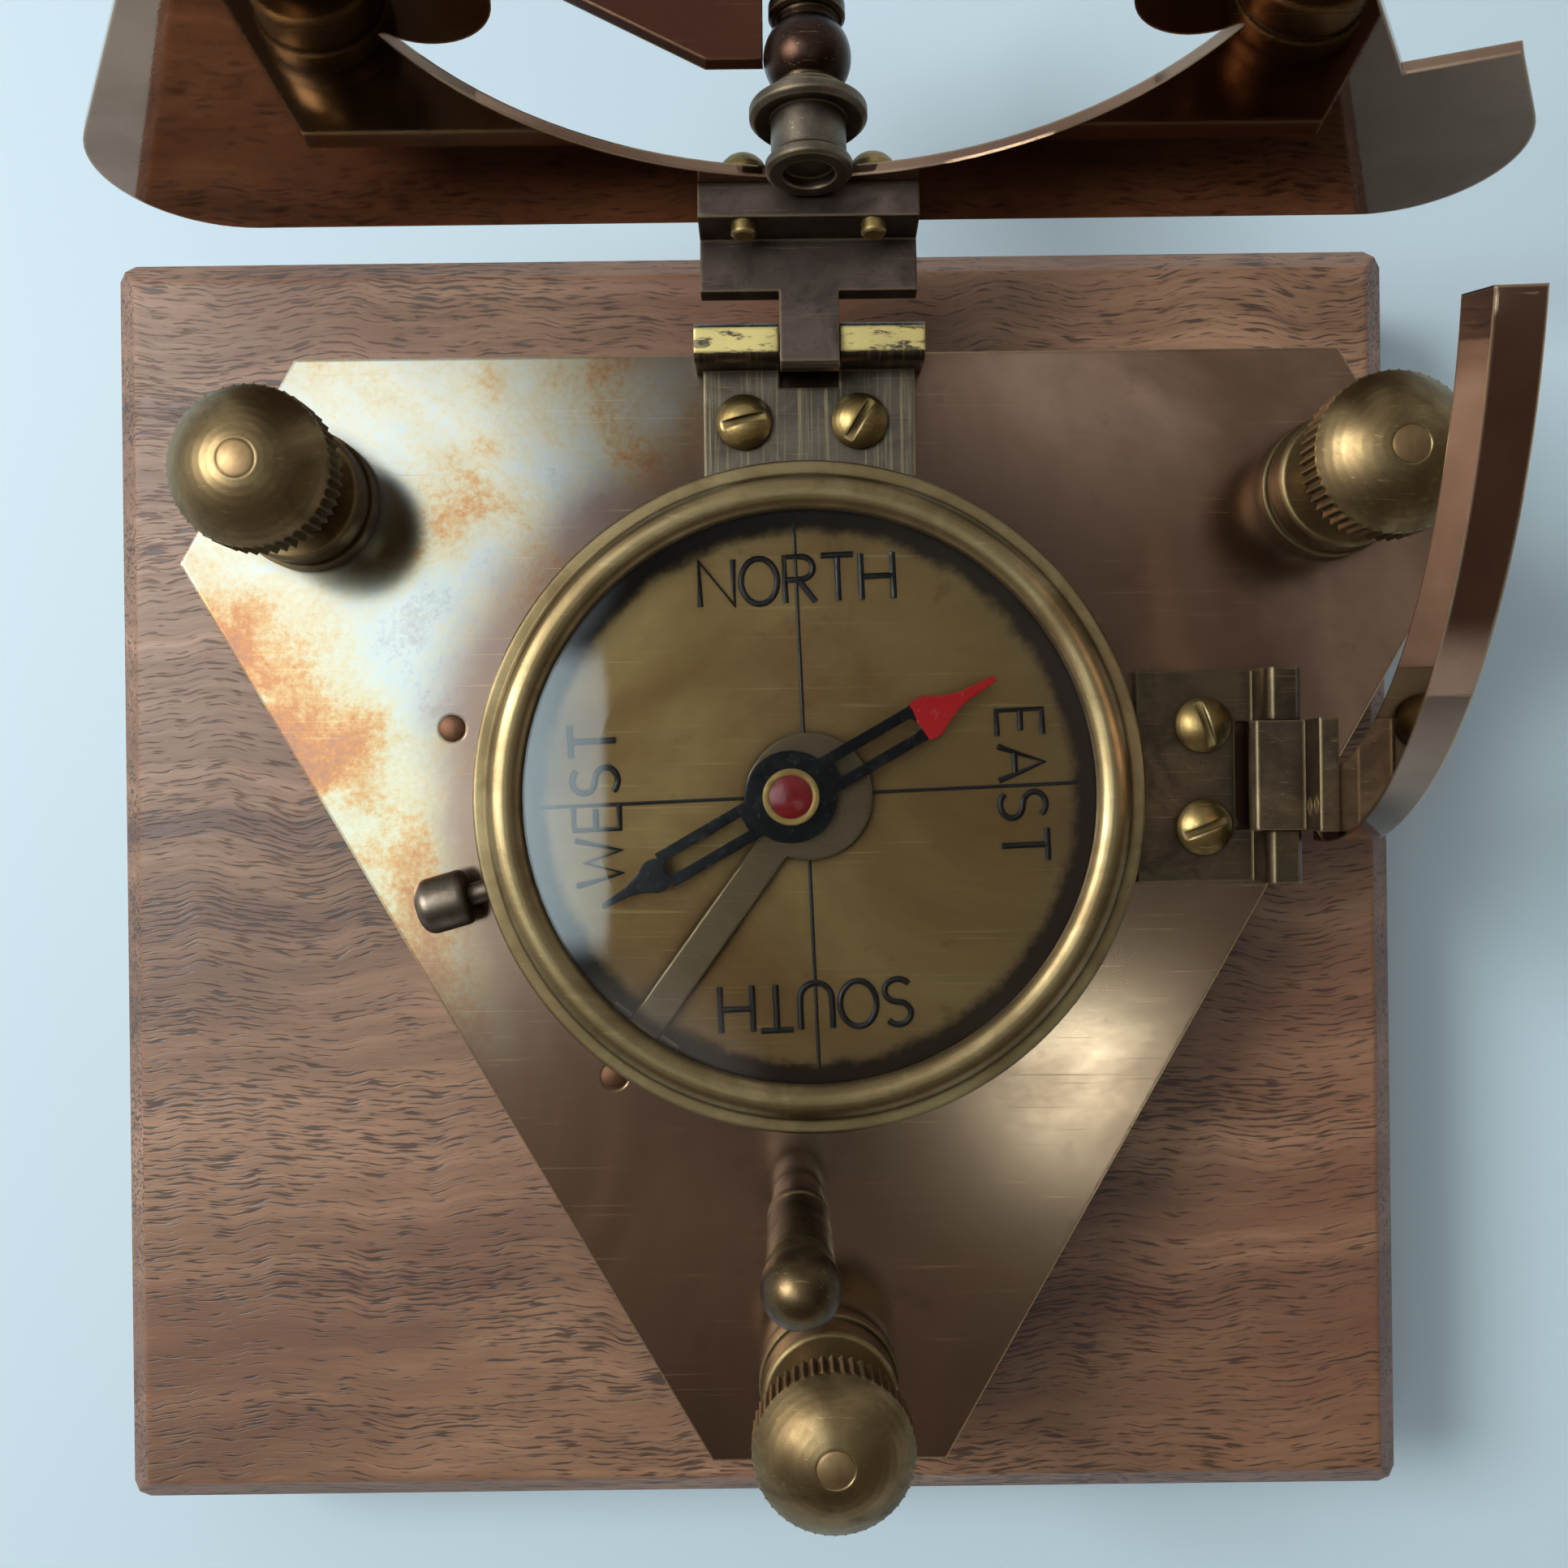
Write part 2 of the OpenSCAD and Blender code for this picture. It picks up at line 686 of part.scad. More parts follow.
// Brass cap through the hub, with the bearing hole for the pivot
cap_shank_d = 3.4;
cap_under = 0.3;
cap_h = 0.7;
jewel_depth = 0.3;
jewel_rise = 0.25;
jewel_below = 0.1;
module needle_cap() {
  seat_z = needle_t + cap_h - jewel_depth + seat_clear;
  color(gold_colour) needle_frame() difference() {
    union() {
      translate([0, 0, -cap_under]) cylinder(d = cap_shank_d, h = cap_under + needle_t + cap_over);
      translate([0, 0, needle_t + seat_clear]) cylinder(d = cap_d, h = cap_h);
    }
    translate([0, 0, -past]) cylinder(d = pivot_d + 2 * run_clear, h = cap_hole_top - needle_z + past);
    translate([0, 0, seat_z]) cylinder(d = jewel_d + 2 * seat_clear, h = past);
  }
}

// Red disc set in the cap
module needle_jewel() {
  edge = jewel_depth - jewel_below;
  color(red_colour) needle_frame() translate([0, 0, needle_t + cap_h - jewel_depth + 2 * seat_clear])
    rotate_extrude() polygon(concat([[0, 0], [jewel_d / 2, 0], [jewel_d / 2, edge]],
                                    cap_points(jewel_d / 2, jewel_rise, edge, 4)));
}

// The needle lock's strip is drawn along +x, from the dial's middle to its fixing
module lifter_frame() {
  instrument() rotate(lifter_heading) children();
}

// Saddle on the dial that carries the lifter's trunnion
module lifter_saddle() {
  inner = saddle_reach - saddle_len / 2;
  color(bronze_colour) lifter_frame() difference() {
    translate([inner, -saddle_w / 2, dial_top]) cube([saddle_len, saddle_w, saddle_h]);
    translate([inner - past, -lifter_w / 2 - side_clear, dial_top - past])
      cube([saddle_len + 2 * past, lifter_w + 2 * side_clear, saddle_h + 2 * past]);
    trunnion(trunnion_r + run_clear, saddle_w + 2 * past);
  }
}

module trunnion(r, length) {
  translate([saddle_reach, 0, trunnion_z]) rotate([90, 0, 0]) cylinder(r = r, h = length, center = true);
}

// Lifter: a flat strip with a round end under the needle and a trunnion at its root
module needle_lifter() {
  color(gold_colour) difference() {
    lifter_frame() {
      translate([0, 0, lifter_z]) linear_extrude(lifter_t) union() {
        circle(d = lifter_eye_d);
        translate([0, -lifter_w / 2]) square([saddle_reach, lifter_w]);
      }
      trunnion(trunnion_r, saddle_w);
    }
    instrument() translate([pivot_x, 0, lifter_z - past])
      cylinder(d = lifter_hole_d, h = lifter_t + 2 * past);
  }
}

// The lock's spindle runs out through the case's wall, along +z of this frame
module lock_frame() {
  instrument() rotate(lock_heading) translate([0, 0, lock_z]) rotate([0, 90, 0]) children();
}

// Spindle with a small collar inside the wall
lock_collar_d = 2.6;
lock_collar_h = 0.8;
lock_end = 1;
module lock_spindle() {
  collar_from = case_in_r - lock_collar_h - side_clear;
  pin_from = collar_from + lock_collar_h / 2;
  color(bronze_colour) lock_frame() {
    translate([0, 0, collar_from]) cylinder(d = lock_collar_d, h = lock_collar_h);
    translate([0, 0, pin_from]) cylinder(d = lock_pin_d, h = lock_start + lock_len - lock_end - pin_from);
  }
}

// Barrel-shaped lock knob
lock_inner_round = 0.7;
lock_outer_round = 1.2;
module lock_knob() {
  r = lock_d / 2;
  inner = lock_inner_round;
  outer = lock_outer_round;
  color(bronze_colour) lock_frame() translate([0, 0, lock_start]) difference() {
    rotate_extrude() polygon(concat(
      [[0, 0]], arc_points(r - inner, inner, inner, -90, 0, 4),
      arc_points(r - outer, lock_len - outer, outer, 0, 90, 5), [[0, lock_len]]));
    translate([0, 0, -past])
      cylinder(d = lock_pin_d + 2 * seat_clear, h = lock_len - lock_end + past + seat_clear);
  }
}

// Two rivets, flush in the plate, just outside the case
rivet_d = 2.4;
rivet_rise = 0.2;
rivet_angles = [168.5, 234.6];
rivet_outs = [4.6, 2.6];
module rivet_spots() {
  for (i = [0, 1]) instrument() rotate(rivet_angles[i])
    translate([case_r + rivet_outs[i], 0, 0]) children();
}

module plate_rivets() {
  color(gold_colour) rivet_spots() rotate_extrude()
    polygon(concat([[0, -plate_t], [rivet_d / 2, -plate_t], [rivet_d / 2, 0]],
                   cap_points(rivet_d / 2, rivet_rise, 0, 4)));
}

// Places for a fixed leaf's two screws, at the level of the plate's top
module leaf_screw_spots(pitch, back, shift) {
  translate([shift, -back, -hinge_z]) pair(pitch) children();
}

// Fixed leaf with two knuckles, a slot for the moving tongue and two screw holes
module hinge_leaf(length, tongue_w, barrel, pitch, back, shift) {
  gap_w = tongue_w + 2 * side_clear;
  difference() {
    union() {
      translate([-leaf_w / 2, -length, -hinge_z]) cube([leaf_w, length, leaf_t]);
      along_x(barrel) knuckle_profile();
    }
    translate([-gap_w / 2, -tongue_nose - swing_clear, -hinge_z - past])
      cube([gap_w, tongue_nose + swing_clear + knuckle_d, hinge_z + knuckle_d]);
    along_x(barrel + 2 * past) circle(r = pin_r + seat_clear);
    leaf_screw_spots(pitch, back, shift) translate([0, 0, -past])
      cylinder(d = shank_d + 2 * seat_clear, h = leaf_t + 2 * past);
  }
}

// Knuckle: a round eye, filed flat on top, on a foot that stands on the plate
filed = 0.36;
module knuckle_profile() {
  difference() {
    union() {
      circle(r = knuckle_r);
      translate([-knuckle_r, -hinge_z]) square([knuckle_d, hinge_z]);
    }
    translate([-knuckle_r, knuckle_r - filed]) square([knuckle_d, knuckle_d]);
  }
}

module hinge_pin(barrel) {
  along_x(barrel) circle(r = pin_r);
}

// Round-headed screw with a slot, seated at z = 0
driver_slot = 0.7;
driver_depth = 0.7;
head_edge = 0.4;
module slotted_screw(grip, turn) {
  difference() {
    rotate_extrude() polygon(concat(
      [[0, -grip], [shank_d / 2, -grip], [shank_d / 2, 0], [head_d / 2, 0], [head_d / 2, head_edge]],
      cap_points(head_d / 2, head_h - head_edge, head_edge, 6)));
    rotate(turn) translate([-head_d, -driver_slot / 2, head_h - driver_depth])
      cube([2 * head_d, driver_slot, head_h]);
  }
}

module leaf_screws(pitch, back, shift, turns) {
  for (i = [0, 1])
    translate([shift + (2 * i - 1) * pitch / 2, -back, leaf_t - hinge_z + seat_clear])
      slotted_screw(leaf_t + plate_t, turns[i]);
}

// Moving tongue: a round eye on the pin, a nose behind it and a flat leaf over both
module hinge_tongue(tongue_w, reach) {
  low = leaf_top - moving_t;
  along_x(tongue_w) union() {
    circle(r = leaf_top);
    polygon([[-tongue_nose, low + nose_bevel], [nose_bevel - tongue_nose, low], [reach, low],
             [reach, leaf_top], [nose_bevel - tongue_nose, leaf_top], [-tongue_nose, leaf_top - nose_bevel]]);
  }
}

// Leaf that swings with the tongue, clear of the fixed knuckles, with an upright flange
nose_bevel = 0.5;
module moving_leaf(tongue_w, wide, shoulder, reach, upright_t, upright_h) {
  back = reach - seat_clear;
  low = leaf_top - moving_t;
  difference() {
    union() {
      hinge_tongue(tongue_w, shoulder + past / 2);
      translate([-wide / 2, shoulder, low]) cube([wide, back - shoulder, moving_t]);
      translate([-wide / 2, back - upright_t, low]) cube([wide, upright_t, upright_h - low]);
    }
    along_x(tongue_w + 2 * past) circle(r = pin_r + run_clear);
  }
}

module north_hinge_leaf() {
  color(bronze_colour) north_hinge()
    hinge_leaf(north_leaf, north_tongue, barrel_w, north_screw_pitch, north_screw_back, north_screw_x);
}

module north_hinge_pin() {
  color(gold_colour) north_hinge() hinge_pin(barrel_w);
}

module north_leaf_screws() {
  color(gold_colour) north_hinge()
    leaf_screws(north_screw_pitch, north_screw_back, north_screw_x, north_slot_turns);
}

// Bracket between the north hinge and the hour plate
module hour_bracket() {
  color(bronze_colour) hour_frame() difference() {
    moving_leaf(north_tongue, leaf_w, north_shoulder, hour_offset, flange_t, flange_h);
    pair(bracket_pitch) translate([0, hour_offset - flange_t - past, bracket_screw_s]) rotate([-90, 0, 0])
      cylinder(d = bracket_screw_d + 2 * seat_clear, h = flange_t + 2 * past);
  }
}

// Screws through the plate and the bracket, with domed heads on the plate's north face
bracket_head_d = 4.4;
bracket_head_h = 2.2;
bracket_end = 1.2;
bracket_bevel = 0.2;
bracket_edge = 0.3;
module bracket_screws() {
  grip = hour_t + flange_t + bracket_end;
  shank_r = bracket_screw_d / 2;
  head_r = bracket_head_d / 2;
  color(gold_colour) hour_frame() pair(bracket_pitch)
    translate([0, hour_offset + hour_t + seat_clear, bracket_screw_s]) rotate([-90, 0, 0])
      rotate_extrude() polygon(concat(
        [[0, -grip], [shank_r - bracket_bevel, -grip], [shank_r, bracket_bevel - grip],
         [shank_r, 0], [head_r, 0], [head_r, bracket_edge]],
        cap_points(head_r, bracket_head_h - bracket_edge, bracket_edge, 6)));
}

// Hour plate: a round-cornered triangle with its opening and a notch for the arc
module hour_plate() {
  color(plate_colour) hour_frame() difference() {
    along_y(hour_offset, hour_t) difference() {
      translate([0, hour_mid_s]) rounded_triangle(hour_inradius, hour_corner);
      hour_opening();
      arc_notch();
    }
    pair(bracket_pitch) translate([0, hour_offset - past, bracket_screw_s]) rotate([-90, 0, 0])
      cylinder(d = bracket_screw_d + 2 * seat_clear, h = hour_t + 2 * past);
  }
}

// Triangle, point up, with rounded corners
module rounded_triangle(inradius, corner) {
  reach = 2 * (inradius - corner);
  for (a = [90, 210, 330]) rotate(a) translate([reach, 0]) circle(r = corner);
  polygon([for (a = [90, 210, 330], turn = [-60, 60])
    [reach * cos(a) + corner * cos(a + turn), reach * sin(a) + corner * sin(a + turn)]]);
}

// Opening: a circle over a wider crescent, with round-ended tongues of metal between them
horn_sink = 0.01;
module hour_opening() {
  drop = ring_s - horn_s;
  tongue_y = horn_r - drop - horn_dip;
  tongue_x = sqrt(pow(ring_r + horn_r, 2) - tongue_y * tongue_y);
  touch = ring_r / (ring_r + horn_r);
  inner_x = sqrt(ring_r * ring_r - drop * drop) - past;
  translate([0, ring_s]) {
    circle(r = ring_r);
    difference() {
      union() {
        intersection() {
          translate([0, crescent_s - ring_s]) circle(r = crescent_r);
          translate([-crescent_r, -2 * crescent_r]) square([2 * crescent_r, 2 * crescent_r - drop]);
        }
        for (side = [0, 1]) mirror([side, 0])
          polygon([[tongue_x, -drop - horn_sink], [tongue_x, tongue_y],
                   [tongue_x * touch, tongue_y * touch], [inner_x, -drop - horn_sink]]);
      }
      for (side = [-1, 1]) translate([side * tongue_x, tongue_y]) circle(r = horn_r);
    }
  }
}

// Notch in the east side that lets the latitude arc through
module arc_notch() {
  side = function (s) (hour_apex_s - s) * tan(30);
  inner = function (s) side(s) - notch_inset / cos(30);
  low = notch_low;
  high = notch_high;
  polygon([[inner(low), low], [side(low) + notch_past, low + notch_slope],
           [side(high) + notch_past, high], [inner(high), high]]);
}

// The gnomon's axis runs north from the hour plate, along +z of this frame, with +y up the plate
module gnomon_frame() {
  hour_frame() translate([0, hour_offset - socket_front, gnomon_s])
    rotate([-90, 0, 0]) mirror([0, 1, 0]) children();
}

// Gnomon's socket: a turned spool astride the plate's rim, a lug behind the plate and a collar
rim_rise = crescent_r - sqrt(crescent_r * crescent_r - socket_d * socket_d / 4) + 2 * seat_clear;
lug_foot = 4.2;
lug_t = 1.5;
socket_rim_len = 0.9;
socket_waist_a = 1.4;
socket_bevel = 0.3;
collar_dish = 0.3;
collar_edge = 1.1;
collar_bevel = 0.4;
collar_back_d = 6.9;
dimple_d = 4.4;
dimple_depth = 1;
module gnomon_socket() {
  rim_r = socket_rim_d / 2;
  waist_r = socket_d / 2;
  r = collar_d / 2;
  back_r = collar_back_d / 2;
  rim_y = rim_s - gnomon_s;
  color(knob_colour) gnomon_frame() difference() {
    union() {
      rotate_extrude() polygon([
        [0, 0], [rim_r - socket_bevel, 0], [rim_r, socket_bevel], [rim_r, socket_rim_len],
        [waist_r, socket_waist_a], [waist_r, collar_a + collar_dish], [r - collar_bevel, collar_a],
        [r, collar_a + collar_bevel], [r, collar_a + collar_edge],
        [back_r, collar_a + collar_edge + collar_bevel], [back_r, collar_back], [0, collar_back]]);
      translate([-lug_w / 2, lug_foot - gnomon_s, plate_back + seat_clear])
        cube([lug_w, gnomon_s - lug_foot, lug_t]);
    }
    translate([-collar_d, -collar_d, socket_front - seat_clear])
      cube([2 * collar_d, collar_d + rim_y + rim_rise, hour_t + 2 * seat_clear]);
    translate([0, 0, -past]) cylinder(d = dimple_d, h = past + dimple_depth);
    translate([0, 0, rod_foot_a]) cylinder(d = rod_foot_d + 2 * run_clear, h = collar_back);
  }
}

// Gnomon's rod, turned in one piece from its foot to its finial
ring_bevel = 0.3;
ring_len = 1.6;
neck_in = 0.7;
module gnomon_rod() {
  r = rod_d / 2;
  band_r = ring_d / 2;
  neck_r = band_r - neck_in;
  foot_a = rod_foot_a + run_clear;
  base_a = collar_back + run_clear;
  gap_a = rings_a + ring_len;
  second_a = rings_a + rings_len - ring_len;
  color(knob_colour) gnomon_frame() difference() {
    union() {
      rotate_extrude() polygon([
        [0, foot_a], [rod_foot_d / 2, foot_a], [rod_foot_d / 2, base_a], [neck_r, base_a],
        [neck_r, rings_a], [band_r - ring_bevel, rings_a], [band_r, rings_a + ring_bevel],
        [band_r, gap_a - ring_bevel], [band_r - ring_bevel, gap_a], [neck_r, gap_a], [neck_r, second_a],
        [band_r - ring_bevel, second_a], [band_r, second_a + ring_bevel], [r, second_a + ring_len],
        [r, finial_a - finial_r], [r - neck_in, finial_a - finial_r], [r - neck_in, finial_a],
        [0, finial_a]]);
      translate([0, 0, ball_a]) sphere(d = ball_d);
      translate([0, 0, finial_a]) sphere(r = finial_r);
    }
    translate([-r - past, -blade_t / 2 - seat_clear, rings_a + rings_len])
      cube([blade_slot + past, blade_t + 2 * seat_clear, blade_end + seat_clear - rings_a - rings_len]);
  }
}

// Gnomon's blade: a flat fin let into the rod
module gnomon_blade() {
  inner_x = -rod_d / 2 + blade_slot - seat_clear;
  turned_r = max(ball_d, ring_d) / 2 + side_clear;
  color(bronze_colour) gnomon_frame() difference() {
    along_y(-blade_t / 2, blade_t)
      polygon([[inner_x, blade_a], [-blade_shoulder, blade_a], [-blade_reach, blade_a + blade_taper],
               [-blade_reach, blade_end - blade_taper], [-blade_shoulder, blade_end], [inner_x, blade_end]]);
    cylinder(r = turned_r, h = rings_a + rings_len + seat_clear);
  }
}

module east_hinge_leaf() {
  color(bronze_colour) east_hinge()
    hinge_leaf(east_leaf, east_tongue, leaf_w, east_screw_pitch, east_screw_back, 0);
}

module east_hinge_pin() {
  color(gold_colour) east_hinge() hinge_pin(leaf_w);
}

module east_leaf_screws() {
  color(gold_colour) east_hinge() leaf_screws(east_screw_pitch, east_screw_back, 0, east_slot_turns);
}

// Middle of the arc's ring, along the east hinge from its middle
arc_centre = east_hinge_y - north_axis_y;
arc_rivet_heights = [3.4, 5.7];

// Places for the arc's rivets along the east hinge, at the middle of its width
arc_mid_r = (arc_inner_r + arc_outer_r) / 2;
arc_rivet_xs = [for (h = arc_rivet_heights) arc_centre + sqrt(arc_mid_r * arc_mid_r - h * h)];
module arc_rivet_spots() {
  for (i = [0 : len(arc_rivet_heights) - 1])
    translate([arc_rivet_xs[i], 0, arc_rivet_heights[i]]) children();
}

// Upright above the knuckles, long enough to hold the rivets wherever the arc stands
arc_rivet_edge = 1.2;
module arc_upright() {
  rim = arc_rivet_d / 2 + arc_rivet_edge;
  from = min(-east_tongue / 2, min(arc_rivet_xs) - rim);
  to = max(east_tongue / 2, max(arc_rivet_xs) + rim);
  back = arc_offset - seat_clear;
  translate([from, back - arc_flange_t, leaf_top]) cube([to - from, arc_flange_t, arc_flange_h - leaf_top]);
}

// Bracket between the east hinge and the latitude arc
module arc_bracket() {
  color(bronze_colour) arc_frame() difference() {
    union() {
      moving_leaf(east_tongue, east_tongue, knuckle_r, arc_offset, arc_flange_t, arc_flange_h);
      arc_upright();
    }
    arc_rivet_spots() translate([0, arc_offset - arc_flange_t - past, 0]) rotate([-90, 0, 0])
      cylinder(d = arc_rivet_d + 2 * seat_clear, h = arc_flange_t + 2 * past);
  }
}

// Latitude arc: part of a flat ring about the hour plate's hinge
module latitude_arc() {
  far = 2 * arc_outer_r;
  color(plate_colour) arc_frame() difference() {
    along_y(arc_offset, arc_t) translate([arc_centre, 0]) intersection() {
      difference() {
        circle(r = arc_outer_r);
        circle(r = arc_inner_r);
      }
      polygon([[0, 0], [far * cos(arc_foot), -far * sin(arc_foot)], [far, far],
               [far * cos(arc_end), far * sin(arc_end)]]);
    }
    arc_rivet_spots() translate([0, arc_offset - past, 0]) rotate([-90, 0, 0])
      cylinder(d = arc_rivet_d + 2 * seat_clear, h = arc_t + 2 * past);
  }
}

// Rivets through the arc and its bracket
arc_head_d = 2.2;
arc_head_edge = 0.2;
arc_head_rise = 0.7;
module arc_rivets() {
  grip = arc_t + arc_flange_t + 2 * seat_clear;
  shank_r = arc_rivet_d / 2;
  head_r = arc_head_d / 2;
  color(gold_colour) arc_frame() arc_rivet_spots()
    translate([0, arc_offset + arc_t + seat_clear, 0]) rotate([-90, 0, 0]) rotate_extrude() polygon(concat(
      [[0, -grip], [shank_r, -grip], [shank_r, 0], [head_r, 0], [head_r, arc_head_edge]],
      cap_points(head_r, arc_head_rise, arc_head_edge, 4)));
}

// Catch post: a turned post with a ring groove and a round head
post_spigot_d = 3;
post_neck_d = 3.6;
post_foot_in = 0.4;
post_foot_drop = 2;
post_groove_in = 0.5;
post_groove_w = 0.9;
groove_slope = 0.2;
post_taper = 1.4;
head_sink = 0.4;
module catch_post() {
  r = post_d / 2;
  head_r = post_head_d / 2;
  head_z = post_h - head_r;
  neck_z = head_z - head_r + head_sink;
  foot_r = r - post_foot_in;
  foot_top = post_groove_z - post_foot_drop;
  groove_r = r - post_groove_in;
  groove_top = post_groove_z + post_groove_w;
  color(knob_colour) post_frame() {
    rotate_extrude() polygon([
      [0, -plate_t], [post_spigot_d / 2, -plate_t], [post_spigot_d / 2, 0], [foot_r, 0],
      [foot_r, foot_top], [r, foot_top + post_foot_in], [r, post_groove_z],
      [groove_r, post_groove_z + groove_slope], [groove_r, groove_top - groove_slope], [r, groove_top],
      [r, neck_z - post_taper], [post_neck_d / 2, neck_z], [post_neck_d / 2, head_z], [0, head_z]]);
    translate([0, 0, head_z]) sphere(r = head_r);
  }
}

wooden_base();
base_plate();
for (i = [0:2]) levelling_boss(corner_angles[i]);
for (i = [0:2]) levelling_stud(corner_angles[i]);
for (i = [0:2]) levelling_knob(corner_angles[i]);
compass_case();
compass_dial();
glass_seat();
compass_glass();
compass_bezel();
needle_pivot();
needle();
needle_cap();
needle_jewel();
lifter_saddle();
needle_lifter();
lock_spindle();
lock_knob();
plate_rivets();
north_hinge_leaf();
north_hinge_pin();
north_leaf_screws();
hour_bracket();
bracket_screws();
hour_plate();
gnomon_socket();
gnomon_rod();
gnomon_blade();
east_hinge_leaf();
east_hinge_pin();
east_leaf_screws();
arc_bracket();
latitude_arc();
arc_rivets();
catch_post();
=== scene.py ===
import math
import bpy
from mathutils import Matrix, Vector


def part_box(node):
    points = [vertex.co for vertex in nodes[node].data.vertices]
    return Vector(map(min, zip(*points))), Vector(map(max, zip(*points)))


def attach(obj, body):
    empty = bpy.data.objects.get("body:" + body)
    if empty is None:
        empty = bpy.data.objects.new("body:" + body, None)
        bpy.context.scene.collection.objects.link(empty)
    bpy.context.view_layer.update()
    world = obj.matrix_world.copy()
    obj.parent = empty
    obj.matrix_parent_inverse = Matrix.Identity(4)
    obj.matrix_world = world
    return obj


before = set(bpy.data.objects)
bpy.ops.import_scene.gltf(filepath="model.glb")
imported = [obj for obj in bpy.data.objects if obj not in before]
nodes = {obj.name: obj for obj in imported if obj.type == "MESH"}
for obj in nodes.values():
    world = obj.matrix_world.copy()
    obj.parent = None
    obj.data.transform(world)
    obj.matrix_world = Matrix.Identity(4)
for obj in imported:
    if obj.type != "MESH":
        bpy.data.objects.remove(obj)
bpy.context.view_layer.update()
scene = bpy.context.scene
scene.view_settings.view_transform = "Standard"
mm = 0.001

# places taken from the frame
caseLow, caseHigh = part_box("compass_case")
compassX = (caseLow.x + caseHigh.x) / 2
compassY = (caseLow.y + caseHigh.y) / 2
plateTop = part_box("base_plate")[1].z
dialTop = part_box("compass_dial")[1].z


# small helpers for node trees

def srgb(red, green, blue):
    # a colour as a screen shows it, 0 to 255, to a linear one
    def linear(value):
        value = value / 255
        return value / 12.92 if value <= 0.04045 else ((value + 0.055) / 1.055) ** 2.4
    return (linear(red), linear(green), linear(blue), 1)


def setInputs(tree, made, values):
    for key, value in values.items():
        if isinstance(value, bpy.types.NodeSocket):
            tree.links.new(value, made.inputs[key])
        else:
            made.inputs[key].default_value = value


def place(tree, kind, values, **settings):
    made = tree.nodes.new("ShaderNode" + kind)
    for key, value in settings.items():
        setattr(made, key, value)
    setInputs(tree, made, values)
    return made


def calc(tree, operation, first, second, clamp=False):
    return place(tree, "Math", {0: first, 1: second}, operation=operation, use_clamp=clamp).outputs[0]


# a vector made from two others
def combine(tree, operation, first, second):
    return place(tree, "VectorMath", {0: first, 1: second}, operation=operation).outputs["Vector"]


# a number made from one vector or two, such as a length
def measure(tree, operation, first, second=(0, 0, 0)):
    return place(tree, "VectorMath", {0: first, 1: second}, operation=operation).outputs["Value"]


def mix(tree, factor, first, second, blend="MIX"):
    made = place(tree, "Mix", {0: factor, 6: first, 7: second}, data_type="RGBA", blend_type=blend)
    return made.outputs[2]


def spread(tree, value, low, high, newLow=0.0, newHigh=1.0, smooth=False):
    made = place(tree, "MapRange", {0: value, 1: low, 2: high, 3: newLow, 4: newHigh})
    made.interpolation_type = "SMOOTHSTEP" if smooth else "LINEAR"
    return made.outputs[0]


def noise(tree, vector, scale, detail=3.0, rough=0.5, warp=0.0):
    made = place(tree, "TexNoise", {"Vector": vector, "Scale": scale, "Detail": detail,
                                    "Roughness": rough, "Distortion": warp})
    return made.outputs["Fac"]


def stretched(tree, vector, scale, turn=(0, 0, 0), shift=(0, 0, 0)):
    made = place(tree, "Mapping", {"Vector": vector, "Scale": scale, "Rotation": turn, "Location": shift})
    return made.outputs[0]


# a colour ramp through (position, colour) pairs
def ramp(tree, value, tints):
    made = place(tree, "ValToRGB", {"Fac": value})
    stops = made.color_ramp.elements
    stops[0].position, stops[0].color = tints[0]
    stops[1].position, stops[1].color = tints[-1]
    for position, tint in tints[1:-1]:
        stops.new(position).color = tint
    return made.outputs[0]


def newGroup(name, inputs, outputs):
    tree = bpy.data.node_groups.new(name, "ShaderNodeTree")
    for label, kind, value in inputs:
        socket = tree.interface.new_socket(name=label, in_out="INPUT", socket_type="NodeSocket" + kind)
        if value is not None:
            socket.default_value = value
    for label, kind in outputs:
        tree.interface.new_socket(name=label, in_out="OUTPUT", socket_type="NodeSocket" + kind)
    return tree, tree.nodes.new("NodeGroupInput").outputs, tree.nodes.new("NodeGroupOutput").inputs


def useGroup(tree, group, **values):
    made = tree.nodes.new("ShaderNodeGroup")
    made.node_tree = group
    setInputs(tree, made, values)
    return made.outputs


def newMaterial(name):
    material = bpy.data.materials.new(name)
    material.use_nodes = True
    tree = material.node_tree
    tree.nodes.clear()
    output = tree.nodes.new("ShaderNodeOutputMaterial")
    shader = tree.nodes.new("ShaderNodeBsdfPrincipled")
    tree.links.new(shader.outputs[0], output.inputs["Surface"])
    return material, shader.inputs


def objectPoint(tree):
    return tree.nodes.new("ShaderNodeTexCoord").outputs["Object"]


def dress(material, *names):
    for name in names:
        data = nodes[name].data
        data.materials.clear()
        data.materials.append(material)
        for face in data.polygons:
            face.material_index = 0


# rounded edges and the bright metal rubbed along them
def makeEdgeWear():
    tree, given, out = newGroup("edgeWear", [("Width", "Float", 0.4 * mm), ("Gain", "Float", 6.0)],
                                [("Wear", "Float"), ("Normal", "Vector")])
    bevel = place(tree, "Bevel", {"Radius": given["Width"]}, samples=4).outputs[0]
    flat = tree.nodes.new("ShaderNodeNewGeometry").outputs["Normal"]
    tilt = calc(tree, "SUBTRACT", 1.0, measure(tree, "DOT_PRODUCT", bevel, flat))
    tree.links.new(calc(tree, "MULTIPLY", tilt, given["Gain"], clamp=True), out["Wear"])
    tree.links.new(bevel, out["Normal"])
    return tree


# cloudy tarnish, with spots and grit that are so many times finer than its clouds
tarnishMarks = {"spotScale": 9.0, "spotFrom": 0.60, "spotTo": 0.72, "gritScale": 60.0}


